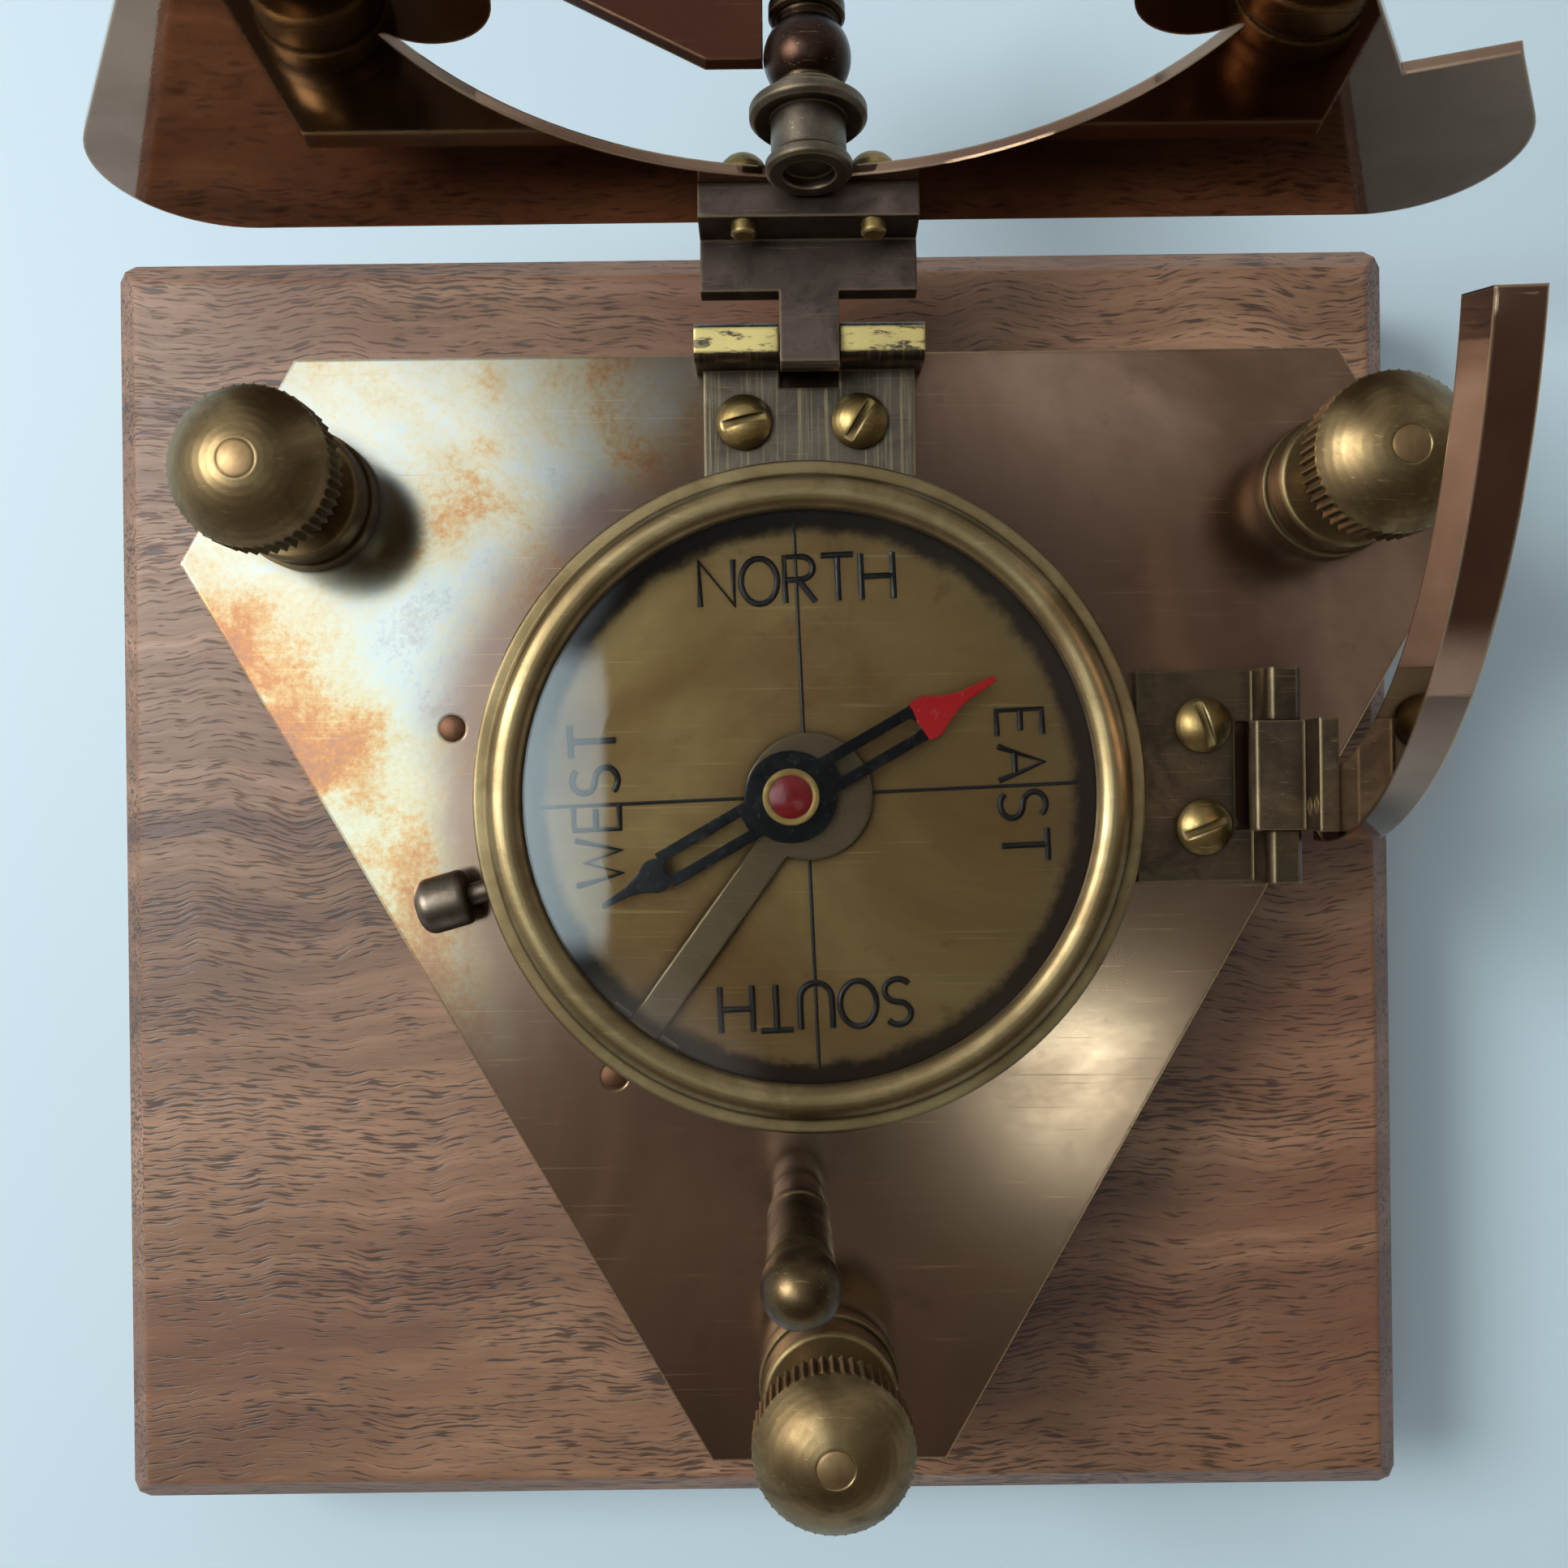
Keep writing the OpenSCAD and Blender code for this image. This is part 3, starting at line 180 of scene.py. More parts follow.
def makeTarnish():
    tree, given, out = newGroup("tarnish", [("Point", "Vector", None), ("Scale", "Float", 60.0),
                                            ("Contrast", "Float", 0.25)],
                                [("Clouds", "Float"), ("Spots", "Float"), ("Grit", "Float")])
    point = given["Point"]
    clouds = noise(tree, point, given["Scale"], detail=7, rough=0.6, warp=0.6)
    low = calc(tree, "SUBTRACT", 0.5, given["Contrast"])
    high = calc(tree, "ADD", 0.5, given["Contrast"])
    tree.links.new(spread(tree, clouds, low, high, smooth=True), out["Clouds"])
    spotScale = calc(tree, "MULTIPLY", given["Scale"], tarnishMarks["spotScale"])
    spots = noise(tree, point, spotScale, detail=4, rough=0.65)
    spots = spread(tree, spots, tarnishMarks["spotFrom"], tarnishMarks["spotTo"], smooth=True)
    tree.links.new(spots, out["Spots"])
    gritScale = calc(tree, "MULTIPLY", given["Scale"], tarnishMarks["gritScale"])
    tree.links.new(noise(tree, point, gritScale, detail=2, rough=0.6), out["Grit"])
    return tree


# fine hair scratches in two directions
scratchMarks = ({"stretch": (1.2, 60, 60), "turn": (0, 0, 0.5), "shift": (0, 0, 0), "thin": (0.66, 0.74)},
                {"stretch": (1.0, 55, 55), "turn": (0, 0, -1.1), "shift": (3, 1, 7), "thin": (0.68, 0.76)})


def makeScratches():
    tree, given, out = newGroup("scratches", [("Point", "Vector", None), ("Scale", "Float", 40.0)],
                                [("Lines", "Float")])
    point = place(tree, "VectorMath", {0: given["Point"], 3: given["Scale"]}, operation="SCALE").outputs[0]
    lines = []
    for mark in scratchMarks:
        drawn = stretched(tree, point, mark["stretch"], mark["turn"], mark["shift"])
        hairs = noise(tree, drawn, 1.0, detail=2, warp=0.3)
        lines.append(spread(tree, hairs, *mark["thin"]))
    tree.links.new(calc(tree, "MAXIMUM", *lines), out["Lines"])
    return tree


# dirt and painted shade: corners darkened by how open they are (occlusion)
cornerDirtShade = {"openFrom": 0.95, "darkFrom": 0.45}


def makeDirtAndShade():
    tree, given, out = newGroup("dirtAndShade", [("Reach", "Float", 2 * mm)], [("DirtShade", "Float")])
    # painted shade with dirt: occlusion darkens corners, creases and the gaps between parts
    shade = place(tree, "AmbientOcclusion", {"Distance": given["Reach"]}, samples=4).outputs["AO"]
    dirtShade = spread(tree, shade, cornerDirtShade["openFrom"], cornerDirtShade["darkFrom"], smooth=True)
    tree.links.new(dirtShade, out["DirtShade"])
    return tree


edgeWear = makeEdgeWear()
tarnish = makeTarnish()
scratches = makeScratches()
dirtAndShade = makeDirtAndShade()
print("shared effects ready")


# heat colours: pale gold with orange blotches along one edge; a dull ring round the compass is a painted
# reflection of the dim sky overhead
def heatTintsAndReflectionRing(tree, point, colour, bloom):
    fromMiddle = combine(tree, "SUBTRACT", point, (compassX, compassY, plateTop))
    clouds = noise(tree, point, bloom["cloudScale"], detail=6, rough=0.62, warp=0.3)
    clouds = spread(tree, clouds, 0.3, 0.7)
    wander = calc(tree, "MULTIPLY", calc(tree, "SUBTRACT", clouds, 0.5), bloom["wander"])
    inward = measure(tree, "DOT_PRODUCT", fromMiddle, bloom["edgeWay"])
    inward = calc(tree, "ADD", inward, wander)
    nearEdge = spread(tree, inward, bloom["edgeTo"], bloom["edgeFrom"], smooth=True)
    grain = calc(tree, "SUBTRACT", noise(tree, point, bloom["grainScale"], detail=4, rough=0.7), 0.5)
    film = calc(tree, "ADD", clouds, calc(tree, "MULTIPLY", grain, bloom["grain"]))
    film = calc(tree, "ADD", film, calc(tree, "MULTIPLY", nearEdge, bloom["edgeGain"]))
    tint = ramp(tree, film, bloom["tints"])
    away = calc(tree, "ADD", measure(tree, "LENGTH", fromMiddle),
                calc(tree, "MULTIPLY", wander, bloom["ringWander"]))
    # painted reflection: a duller ring next to the compass, where the plate mirrors the dim sky overhead
    ring = spread(tree, away, bloom["ringTo"], bloom["ringFrom"], smooth=True)
    tint = mix(tree, calc(tree, "MULTIPLY", ring, bloom["ringStrength"]), tint, bloom["ring"])
    reach = calc(tree, "ADD", measure(tree, "DISTANCE", fromMiddle, bloom["corner"]), wander)
    fade = spread(tree, reach, bloom["reach"], bloom["fullWithin"], smooth=True)
    return mix(tree, calc(tree, "MULTIPLY", fade, bloom["strength"]), colour, tint)


# metal filed bright above a level, in patches, and made lighter there as a painted highlight
def filedTop(tree, point, filed):
    height = place(tree, "SeparateXYZ", {0: point}).outputs["Z"]
    grain = noise(tree, stretched(tree, point, filed["stretch"]), 1.0, detail=5, rough=0.7)
    patchy = calc(tree, "MULTIPLY", calc(tree, "SUBTRACT", grain, filed["bare"]), filed["depth"])
    height = calc(tree, "ADD", height, patchy)
    return spread(tree, height, filed["level"] - filed["below"], filed["level"] + filed["above"], smooth=True)


# straight file marks
def brushMarks(tree, point, brush):
    strokes = noise(tree, stretched(tree, point, brush["stretch"]), 1.0, detail=4, rough=0.65)
    return spread(tree, strokes, brush["from"], brush["to"], 0.0, brush["strength"])


# darker round the dial's rim: dirt, with painted shade where the bezel overhangs the case wall
def rimSootShade(tree, point, sootShade):
    away = measure(tree, "DISTANCE", point, (compassX, compassY, dialTop))
    ragged = noise(tree, point, sootShade["scale"], detail=5, rough=0.7)
    away = calc(tree, "ADD", away, calc(tree, "MULTIPLY", ragged, sootShade["ragged"]))
    return spread(tree, away, sootShade["from"], sootShade["to"], 0.0, sootShade["strength"], smooth=True)


# aged brass: deep and light tarnish, bright worn edges, dirt and painted shade in the corners
brassBasics = {"contrast": 0.22, "spots": 0.35, "scratchScale": 60, "hair": 0.3, "hairRough": 0.06,
               "hairDepth": 0.6, "edgeWidth": 0.35 * mm, "edgeGain": 5.0, "edge": 0.8,
               "dirtShadeReach": 1.5 * mm, "dirtShade": 0.7, "dirtShadeRough": 0.25, "dirtShadeColour": srgb(38, 28, 20),
               "bump": 0.12, "bumpDepth": 0.05 * mm}


def agedBrass(name, changes):
    look = {**brassBasics, **changes}
    material, shader = newMaterial(name)
    tree = material.node_tree
    point = objectPoint(tree)
    film = useGroup(tree, tarnish, Point=point, Scale=look["cloudScale"], Contrast=look["contrast"])
    hair = useGroup(tree, scratches, Point=point, Scale=look["scratchScale"])
    edge = useGroup(tree, edgeWear, Width=look["edgeWidth"], Gain=look["edgeGain"])
    dirtShade = useGroup(tree, dirtAndShade, Reach=look["dirtShadeReach"])
    colour = mix(tree, film["Clouds"], look["deep"], look["tone"])
    colour = mix(tree, calc(tree, "MULTIPLY", film["Spots"], look["spots"]), colour, look["deep"])
    if "bloom" in look:
        colour = heatTintsAndReflectionRing(tree, point, colour, look["bloom"])
    colour = mix(tree, calc(tree, "MULTIPLY", hair["Lines"], look["hair"]), colour, look["worn"])
    colour = mix(tree, calc(tree, "MULTIPLY", edge["Wear"], look["edge"]), colour, look["worn"])
    if "brush" in look:
        colour = mix(tree, brushMarks(tree, point, look["brush"]), colour, look["worn"])
    if "filed" in look:
        # filed bare brass on the knuckle tops, lightened as a painted highlight
        colour = mix(tree, filedTop(tree, point, look["filed"]), colour, look["filed"]["colour"])
    # dirt and painted shade: corners darkened by occlusion
    soilAndShade = calc(tree, "MULTIPLY", dirtShade["DirtShade"], look["dirtShade"])
    # dirt and painted shade round the dial's rim, under the bezel
    if "sootShade" in look:
        soilAndShade = calc(tree, "MAXIMUM", soilAndShade, rimSootShade(tree, point, look["sootShade"]))
    colour = mix(tree, soilAndShade, colour, look["dirtShadeColour"])
    low, high = look["roughness"]
    rough = spread(tree, film["Clouds"], 0.0, 1.0, high, low)
    rough = calc(tree, "ADD", rough, calc(tree, "MULTIPLY", hair["Lines"], look["hairRough"]))
    rough = calc(tree, "ADD", rough, calc(tree, "MULTIPLY", soilAndShade, look["dirtShadeRough"]), clamp=True)
    height = calc(tree, "ADD", calc(tree, "MULTIPLY", hair["Lines"], -look["hairDepth"]), film["Grit"])
    bump = place(tree, "Bump", {"Strength": look["bump"], "Distance": look["bumpDepth"], "Height": height,
                                "Normal": edge["Normal"]})
    tree.links.new(colour, shader["Base Color"])
    tree.links.new(rough, shader["Roughness"])
    tree.links.new(bump.outputs[0], shader["Normal"])
    shader["Metallic"].default_value = 1.0
    return material


# knobs, bosses, studs and catch post: aged brass, rubbed by fingers
turnedBrass = {"deep": srgb(92, 75, 50), "tone": srgb(144, 122, 86), "worn": srgb(206, 182, 128),
               "roughness": (0.3, 0.45), "cloudScale": 170, "edge": 0.45, "hair": 0.15}
dress(agedBrass("turnedBrass", turnedBrass), "knob_east", "knob_west", "knob_south", "boss_east", "boss_west",
      "boss_south")
studBrass = {**turnedBrass, "deep": srgb(112, 88, 60), "tone": srgb(160, 132, 94), "roughness": (0.4, 0.55),
             "edge": 0.1, "dirtShade": 0.05}
dress(agedBrass("studBrass", studBrass), "stud_east", "stud_west", "stud_south")
postBrass = {**turnedBrass, "deep": srgb(58, 44, 30), "tone": srgb(110, 92, 64)}
dress(agedBrass("postBrass", postBrass), "catch_post")

# case, gnomon socket and lock: dark antique bronze with filed edges
darkBronze = {"deep": srgb(82, 73, 64), "tone": srgb(122, 110, 96), "worn": srgb(196, 176, 130),
              "roughness": (0.32, 0.46), "cloudScale": 220, "edge": 0.7, "hair": 0.2, "scratchScale": 120,
              "spots": 0.6, "bump": 0.3}
dress(agedBrass("darkBronze", darkBronze), "compass_case", "lifter_saddle", "lock_spindle", "lock_knob",
      "gnomon_socket")

# brackets, east leaf, glass seat and lifter: the same bronze in other tones
castBronze = {**darkBronze, "deep": srgb(72, 61, 56), "tone": srgb(112, 98, 90), "spots": 0.8}
dress(agedBrass("castBronze", castBronze), "hour_bracket")
eastBronze = {**darkBronze, "deep": srgb(60, 50, 40), "tone": srgb(94, 80, 62)}
dress(agedBrass("eastBronze", eastBronze), "east_hinge_leaf", "arc_bracket")
# glass seat: very dark, standing for dirt and painted shade in the case's recess under the bezel
seatBronze = {**darkBronze, "deep": srgb(30, 25, 20), "tone": srgb(58, 48, 36), "edge": 0.3}
dress(agedBrass("seatBronze", seatBronze), "glass_seat")
lifterBrass = {**darkBronze, "deep": srgb(94, 76, 56), "tone": srgb(122, 102, 78), "roughness": (0.3, 0.4),
               "cloudScale": 60, "spots": 0.1, "hair": 0.3}
dress(agedBrass("lifterBrass", lifterBrass), "needle_lifter")

# north leaf: brushed north to south, with its knuckles filed bright on top and lit further by a painted
# highlight
filedBronze = {**darkBronze, "deep": srgb(70, 63, 55), "tone": srgb(104, 94, 82),
               "brush": {"stretch": (2600, 45, 45), "from": 0.5, "to": 0.68, "strength": 0.4},
               "filed": {"level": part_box("north_hinge_leaf")[1].z - 0.1 * mm, "below": 0.02 * mm,
                         "above": 0.06 * mm, "stretch": (500, 1500, 1500), "bare": 0.57, "depth": 0.6 * mm,
                         "colour": srgb(214, 194, 128)}}
dress(agedBrass("filedBronze", filedBronze), "north_hinge_leaf")

# screws, pins and rivets: brass kept bright by handling
brightBrass = {"deep": srgb(120, 98, 60), "tone": srgb(170, 146, 94), "worn": srgb(232, 212, 156),
               "roughness": (0.32, 0.46), "cloudScale": 300, "edge": 0.6}
dress(agedBrass("brightBrass", brightBrass), "needle_pivot", "north_hinge_pin", "north_leaf_screws",
      "bracket_screws", "east_hinge_pin", "east_leaf_screws", "arc_rivets")
capBrass = {**brightBrass, "deep": srgb(168, 132, 72), "tone": srgb(206, 172, 104), "roughness": (0.42, 0.5),
            "dirtShade": 0.2}
dress(agedBrass("capBrass", capBrass), "needle_cap")

# bezel: golden moulding
bezelBrass = {"deep": srgb(112, 94, 64), "tone": srgb(156, 136, 98), "worn": srgb(200, 180, 136),
              "roughness": (0.3, 0.42), "cloudScale": 120, "edge": 0.2, "hair": 0.1}
dress(agedBrass("bezelBrass", bezelBrass), "compass_bezel")

# dial: dull golden brown brass, darker round its rim with soot and painted shade
dialBrass = {"deep": srgb(114, 84, 51), "tone": srgb(158, 130, 84), "worn": srgb(186, 164, 116),
             "roughness": (0.36, 0.46), "cloudScale": 36, "contrast": 0.3, "edge": 0.0, "hair": 0.3,
             "scratchScale": 50,
             "sootShade": {"from": 24.4 * mm, "to": 25.8 * mm, "scale": 300, "ragged": 2.4 * mm, "strength": 0.9}}
dress(agedBrass("dialBrass", dialBrass), "compass_dial")

# hour plate and arc: polished brown brass that mirrors the base
mirrorBrass = {"deep": srgb(126, 100, 84), "tone": srgb(158, 130, 110), "worn": srgb(206, 176, 134),
               "roughness": (0.02, 0.06), "cloudScale": 40, "edge": 0.6, "hair": 0.05, "bump": 0.02,
               "dirtShade": 0.3}
dress(agedBrass("mirrorBrass", mirrorBrass), "hour_plate", "latitude_arc")

# gnomon's rod and blade: dark reddish brown
rodBrass = {**darkBronze, "deep": srgb(40, 28, 22), "tone": srgb(76, 56, 45), "roughness": (0.16, 0.28)}
dress(agedBrass("rodBrass", rodBrass), "gnomon_rod")
bladeBrass = {**mirrorBrass, "deep": srgb(66, 40, 32), "tone": srgb(92, 58, 46), "roughness": (0.2, 0.3)}
dress(agedBrass("bladeBrass", bladeBrass), "gnomon_blade")

# base plate: brown brass, with heat colours over its west corner and a painted dark reflection ring round the
# compass; places are from the compass's middle
plateBloom = {"corner": (-46 * mm, 22 * mm, 0), "reach": 52 * mm, "fullWithin": 28.6 * mm, "strength": 0.95,
              "cloudScale": 55, "wander": 16 * mm, "grainScale": 1500, "grain": 0.55,
              "edgeWay": (0.879, 0.477, 0), "edgeFrom": -37.5 * mm, "edgeTo": -28 * mm, "edgeGain": 0.2,
              "ringFrom": 30.5 * mm, "ringTo": 37 * mm, "ringWander": 0.25, "ringStrength": 0.85,
              # painted reflection of the dim sky overhead, in a ring round the compass
              "ring": srgb(114, 86, 74),
              "tints": ((0.10, srgb(140, 136, 134)), (0.25, srgb(150, 152, 148)),
                        (0.42, srgb(156, 150, 134)), (0.58, srgb(156, 142, 116)),
                        (0.70, srgb(154, 122, 86)), (0.82, srgb(146, 98, 66)),
                        (0.96, srgb(128, 90, 74)))}
plateBrass = {"deep": srgb(112, 86, 71), "tone": srgb(154, 127, 107), "worn": srgb(214, 186, 138),
              "roughness": (0.13, 0.22), "cloudScale": 30, "edge": 0.8, "hair": 0.15, "bump": 0.018,
              "dirtShade": 0.3, "bloom": plateBloom}
dress(agedBrass("plateBrass", plateBrass), "base_plate")
rivetBrass = {**darkBronze, "deep": srgb(70, 46, 34), "tone": srgb(112, 80, 60), "roughness": (0.4, 0.5)}
dress(agedBrass("rivetBrass", rivetBrass), "plate_rivets")
print("brass dressed")

# needle: gloss black with a red painted point
needlePaint = {"black": srgb(7, 7, 8), "red": srgb(196, 22, 22), "heading": 29.5, "redFrom": 13.3 * mm,
               "raggedScale": 900, "ragged": 0.6 * mm, "glossScale": 1500, "roughness": (0.16, 0.3),
               "edgeWidth": 0.2 * mm, "edgeGain": 3.0, "coat": 0.4}


def paintNeedle(look):
    material, shader = newMaterial("needlePaint")
    tree = material.node_tree
    low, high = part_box("needle_cap")
    heading = math.radians(look["heading"])
    point = objectPoint(tree)
    fromPivot = combine(tree, "SUBTRACT", point, (low + high) / 2)
    along = measure(tree, "DOT_PRODUCT", fromPivot, (math.cos(heading), math.sin(heading), 0))
    ragged = calc(tree, "MULTIPLY", noise(tree, point, look["raggedScale"], detail=2), look["ragged"])
    mask = calc(tree, "GREATER_THAN", calc(tree, "ADD", along, ragged), look["redFrom"])
    gloss = spread(tree, noise(tree, point, look["glossScale"]), 0.3, 0.7, *look["roughness"])
    edge = useGroup(tree, edgeWear, Width=look["edgeWidth"], Gain=look["edgeGain"])
    tree.links.new(mix(tree, mask, look["black"], look["red"]), shader["Base Color"])
    tree.links.new(gloss, shader["Roughness"])
    tree.links.new(edge["Normal"], shader["Normal"])
    shader["Coat Weight"].default_value = look["coat"]
    return material


dress(paintNeedle(needlePaint), "needle")

# jewel: red enamel
jewelEnamel = {"dark": srgb(104, 3, 6), "light": srgb(160, 8, 12), "scale": 700, "roughness": 0.25}


def redEnamel(look):
    material, shader = newMaterial("redEnamel")
    tree = material.node_tree
    tint = noise(tree, objectPoint(tree), look["scale"])
    tree.links.new(mix(tree, tint, look["dark"], look["light"]), shader["Base Color"])
    shader["Roughness"].default_value = look["roughness"]
    return material


dress(redEnamel(jewelEnamel), "needle_jewel")

# glass: clear, thin, faintly blue
coverGlass = {"tint": (0.97, 0.99, 1.0, 1), "roughness": 0.02, "refraction": 1.6}


def clearGlass(look):
    material, shader = newMaterial("clearGlass")
    shader["Base Color"].default_value = look["tint"]
    shader["Roughness"].default_value = look["roughness"]
    shader["IOR"].default_value = look["refraction"]
    shader["Transmission Weight"].default_value = 1.0
    return material


dress(clearGlass(coverGlass), "compass_glass")

# wood: reddish brown, wavy open grain running east to west
blockWood = {"light": srgb(170, 130, 100), "middle": srgb(132, 97, 71), "dark": srgb(90, 60, 44),
             "lightAt": 0.72, "middleAt": 0.5, "darkAt": 0.3,
             "swayStretch": (60, 22, 22), "wave": 7 * mm, "figureStretch": (9, 70, 70),
             "fibreStretch": (90, 1500, 1500), "fibre": 0.5, "roughness": (0.34, 0.5),
             "pore": srgb(46, 30, 22), "poreStretch": (330, 3400, 3400), "poreFrom": 0.60, "poreTo": 0.70,
             "poreDark": 0.8, "bandStretch": (25, 160, 160), "bandGain": 0.12,
             "stain": srgb(104, 64, 47), "stainStretch": (16, 26, 26), "stainFrom": 0.48, "stainTo": 0.68,
             "stainDark": 0.6, "edge": srgb(170, 106, 62), "edgeWidth": 1.0 * mm, "edgeGain": 2.0,
             "edgeWear": 0.6, "bump": 0.3, "bumpDepth": 0.1 * mm}


def openGrainWood(look):
    material, shader = newMaterial("blockWood")
    tree = material.node_tree
    point = objectPoint(tree)
    sway = calc(tree, "SUBTRACT", noise(tree, stretched(tree, point, look["swayStretch"]), 1.0), 0.5)
    wave = place(tree, "CombineXYZ", {"Y": calc(tree, "MULTIPLY", sway, look["wave"])}).outputs[0]
    grain = combine(tree, "ADD", point, wave)
    figure = noise(tree, stretched(tree, grain, look["figureStretch"]), 1.0, detail=5, rough=0.6, warp=1.2)
    fibre = noise(tree, stretched(tree, grain, look["fibreStretch"]), 1.0, detail=4, rough=0.6, warp=0.4)
    pores = noise(tree, stretched(tree, grain, look["poreStretch"]), 1.0, detail=2, warp=0.2)
    bands = noise(tree, stretched(tree, grain, look["bandStretch"]), 1.0, rough=0.6)
    pores = calc(tree, "ADD", pores, spread(tree, bands, 0.35, 0.65, 0.0, look["bandGain"]))
    poreMask = spread(tree, pores, look["poreFrom"], look["poreTo"])
    colour = ramp(tree, figure, ((look["darkAt"], look["dark"]), (look["middleAt"], look["middle"]),
                                 (look["lightAt"], look["light"])))
    colour = mix(tree, spread(tree, fibre, 0.3, 0.7, 0.0, look["fibre"]), colour, look["dark"])
    stain = noise(tree, stretched(tree, point, look["stainStretch"]), 1.0, detail=4, rough=0.6, warp=0.5)
    stain = spread(tree, stain, look["stainFrom"], look["stainTo"], 0.0, look["stainDark"])
    colour = mix(tree, stain, colour, look["stain"])
    colour = mix(tree, calc(tree, "MULTIPLY", poreMask, look["poreDark"]), colour, look["pore"])
    edge = useGroup(tree, edgeWear, Width=look["edgeWidth"], Gain=look["edgeGain"])
    colour = mix(tree, calc(tree, "MULTIPLY", edge["Wear"], look["edgeWear"]), colour, look["edge"])
    height = calc(tree, "SUBTRACT", calc(tree, "MULTIPLY", fibre, look["fibre"]), poreMask)
    bump = place(tree, "Bump", {"Strength": look["bump"], "Distance": look["bumpDepth"], "Height": height,
                                "Normal": edge["Normal"]})
    tree.links.new(colour, shader["Base Color"])
    tree.links.new(spread(tree, fibre, 0.2, 0.8, *look["roughness"]), shader["Roughness"])
    tree.links.new(bump.outputs[0], shader["Normal"])
    return material


dress(openGrainWood(blockWood), "wooden_base")
print("paint, glass and wood dressed")

# engraved lines: dark round strokes, sunk in the metal by a share of their radius
engraving = {"colour": srgb(8, 6, 4), "roughness": 0.5, "sink": 0.5}


def makeEngraved(look):
    material, shader = newMaterial("engraved")
    shader["Base Color"].default_value = look["colour"]
    shader["Roughness"].default_value = look["roughness"]
    return material


engravedMaterial = makeEngraved(engraving)


def engrave(name, strokes, radius, toWorld, body):
    data = bpy.data.curves.new(name + "Path", "CURVE")
    data.dimensions = "3D"
    data.bevel_depth = radius
    data.bevel_resolution = 1
    data.use_fill_caps = True
    for stroke in strokes:
        line = data.splines.new("POLY")
        line.points.add(len(stroke) - 1)
        for spot, flat in zip(line.points, stroke):
            spot.co = (*toWorld(*flat, -engraving["sink"] * radius), 1)
    path = bpy.data.objects.new(name + "Path", data)
    scene.collection.objects.link(path)
    mesh = bpy.data.meshes.new_from_object(path.evaluated_get(bpy.context.evaluated_depsgraph_get()))
    bpy.data.objects.remove(path)
    bpy.data.curves.remove(data)
    mesh.name = name
    mesh.materials.clear()
    mesh.materials.append(engravedMaterial)
    piece = bpy.data.objects.new(name, mesh)
    scene.collection.objects.link(piece)
    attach(piece, body)


# points along part of an ellipse, angles in degrees
def bend(x, y, wide, high, start, stop, steps=14):
    angles = [math.radians(start + (stop - start) * step / steps) for step in range(steps + 1)]
    return [(x + wide * math.cos(angle), y + high * math.sin(angle)) for angle in angles]


# letters in a box one unit high: width, then strokes
letters = {
    "N": (0.75, [[(0, 0), (0, 1), (0.75, 0), (0.75, 1)]]),
    "O": (0.80, [bend(0.4, 0.5, 0.4, 0.5, 90, 450, 24)]),
    "R": (0.65, [[(0, 0), (0, 1), *bend(0.36, 0.75, 0.27, 0.25, 90, -90), (0, 0.5)],
                 [(0.3, 0.5), (0.65, 0)]]),
    "T": (0.70, [[(0, 1), (0.7, 1)], [(0.35, 1), (0.35, 0)]]),
    "H": (0.70, [[(0, 0), (0, 1)], [(0.7, 0), (0.7, 1)], [(0, 0.5), (0.7, 0.5)]]),
    "E": (0.55, [[(0.55, 1), (0, 1), (0, 0), (0.55, 0)], [(0, 0.52), (0.45, 0.52)]]),
    "A": (0.75, [[(0, 0), (0.375, 1), (0.75, 0)], [(0.14, 0.36), (0.61, 0.36)]]),
    "S": (0.60, [[*bend(0.3, 0.75, 0.27, 0.25, 35, 270), *bend(0.3, 0.25, 0.29, 0.25, 90, -145)]]),
    "U": (0.70, [[(0, 1), *bend(0.35, 0.35, 0.35, 0.35, 180, 360), (0.7, 1)]]),
    "W": (1.00, [[(0, 1), (0.25, 0), (0.5, 0.8), (0.75, 0), (1, 1)]])}

# dial: a cross and the four directions, a little turned on the case
# each word: distance from the middle, degrees round from north, length
dialMarks = {"turn": 2.0, "centre": (-0.2 * mm, 0.1 * mm), "reach": 24.5 * mm, "letter": 4.1 * mm,
             "line": 0.22 * mm, "stroke": 0.38 * mm,
             "words": (("NORTH", 19.4 * mm, 0, 17.4 * mm), ("WEST", 18.9 * mm, 90, 14.4 * mm),
                       ("SOUTH", 18.9 * mm, 180, 17.2 * mm), ("EAST", 19.4 * mm, 270, 13.6 * mm))}


def turned(x, y, degrees):
    angle = math.radians(degrees)
    return (x * math.cos(angle) - y * math.sin(angle), x * math.sin(angle) + y * math.cos(angle))


def onDial(x, y, rise):
    east, north = dialMarks["centre"]
    x, y = turned(x, y, dialMarks["turn"])
    return (compassX + east + x, compassY + north + y, dialTop + rise)


def wordStrokes(word, out, around, length):
    high = dialMarks["letter"]
    widths = [letters[letter][0] * high for letter in word]
    gap = (length - sum(widths)) / (len(word) - 1)
    start = -length / 2
    strokes = []
    for letter, width in zip(word, widths):
        for stroke in letters[letter][1]:
            strokes.append([turned(start + x * high, out + (y - 0.5) * high, around) for x, y in stroke])
        start += width + gap
    return strokes


def engraveDial():
    reach = dialMarks["reach"]
    cross = [[(-reach, 0), (reach, 0)], [(0, -reach), (0, reach)]]
    engrave("dialCross", cross, dialMarks["line"], onDial, "base")
    for word, out, around, length in dialMarks["words"]:
        strokes = wordStrokes(word, out, around, length)
        engrave("dialWord" + word.title(), strokes, dialMarks["stroke"], onDial, "base")


engraveDial()
print("dial engraved")

# camera: straight down over the compass, a phone's field of view
photoView = {"height": 143 * mm, "east": -2.2 * mm, "north": 1.15 * mm, "lens": 36.06, "sensor": 36,
             "near": 1 * mm, "turn": -0.7}


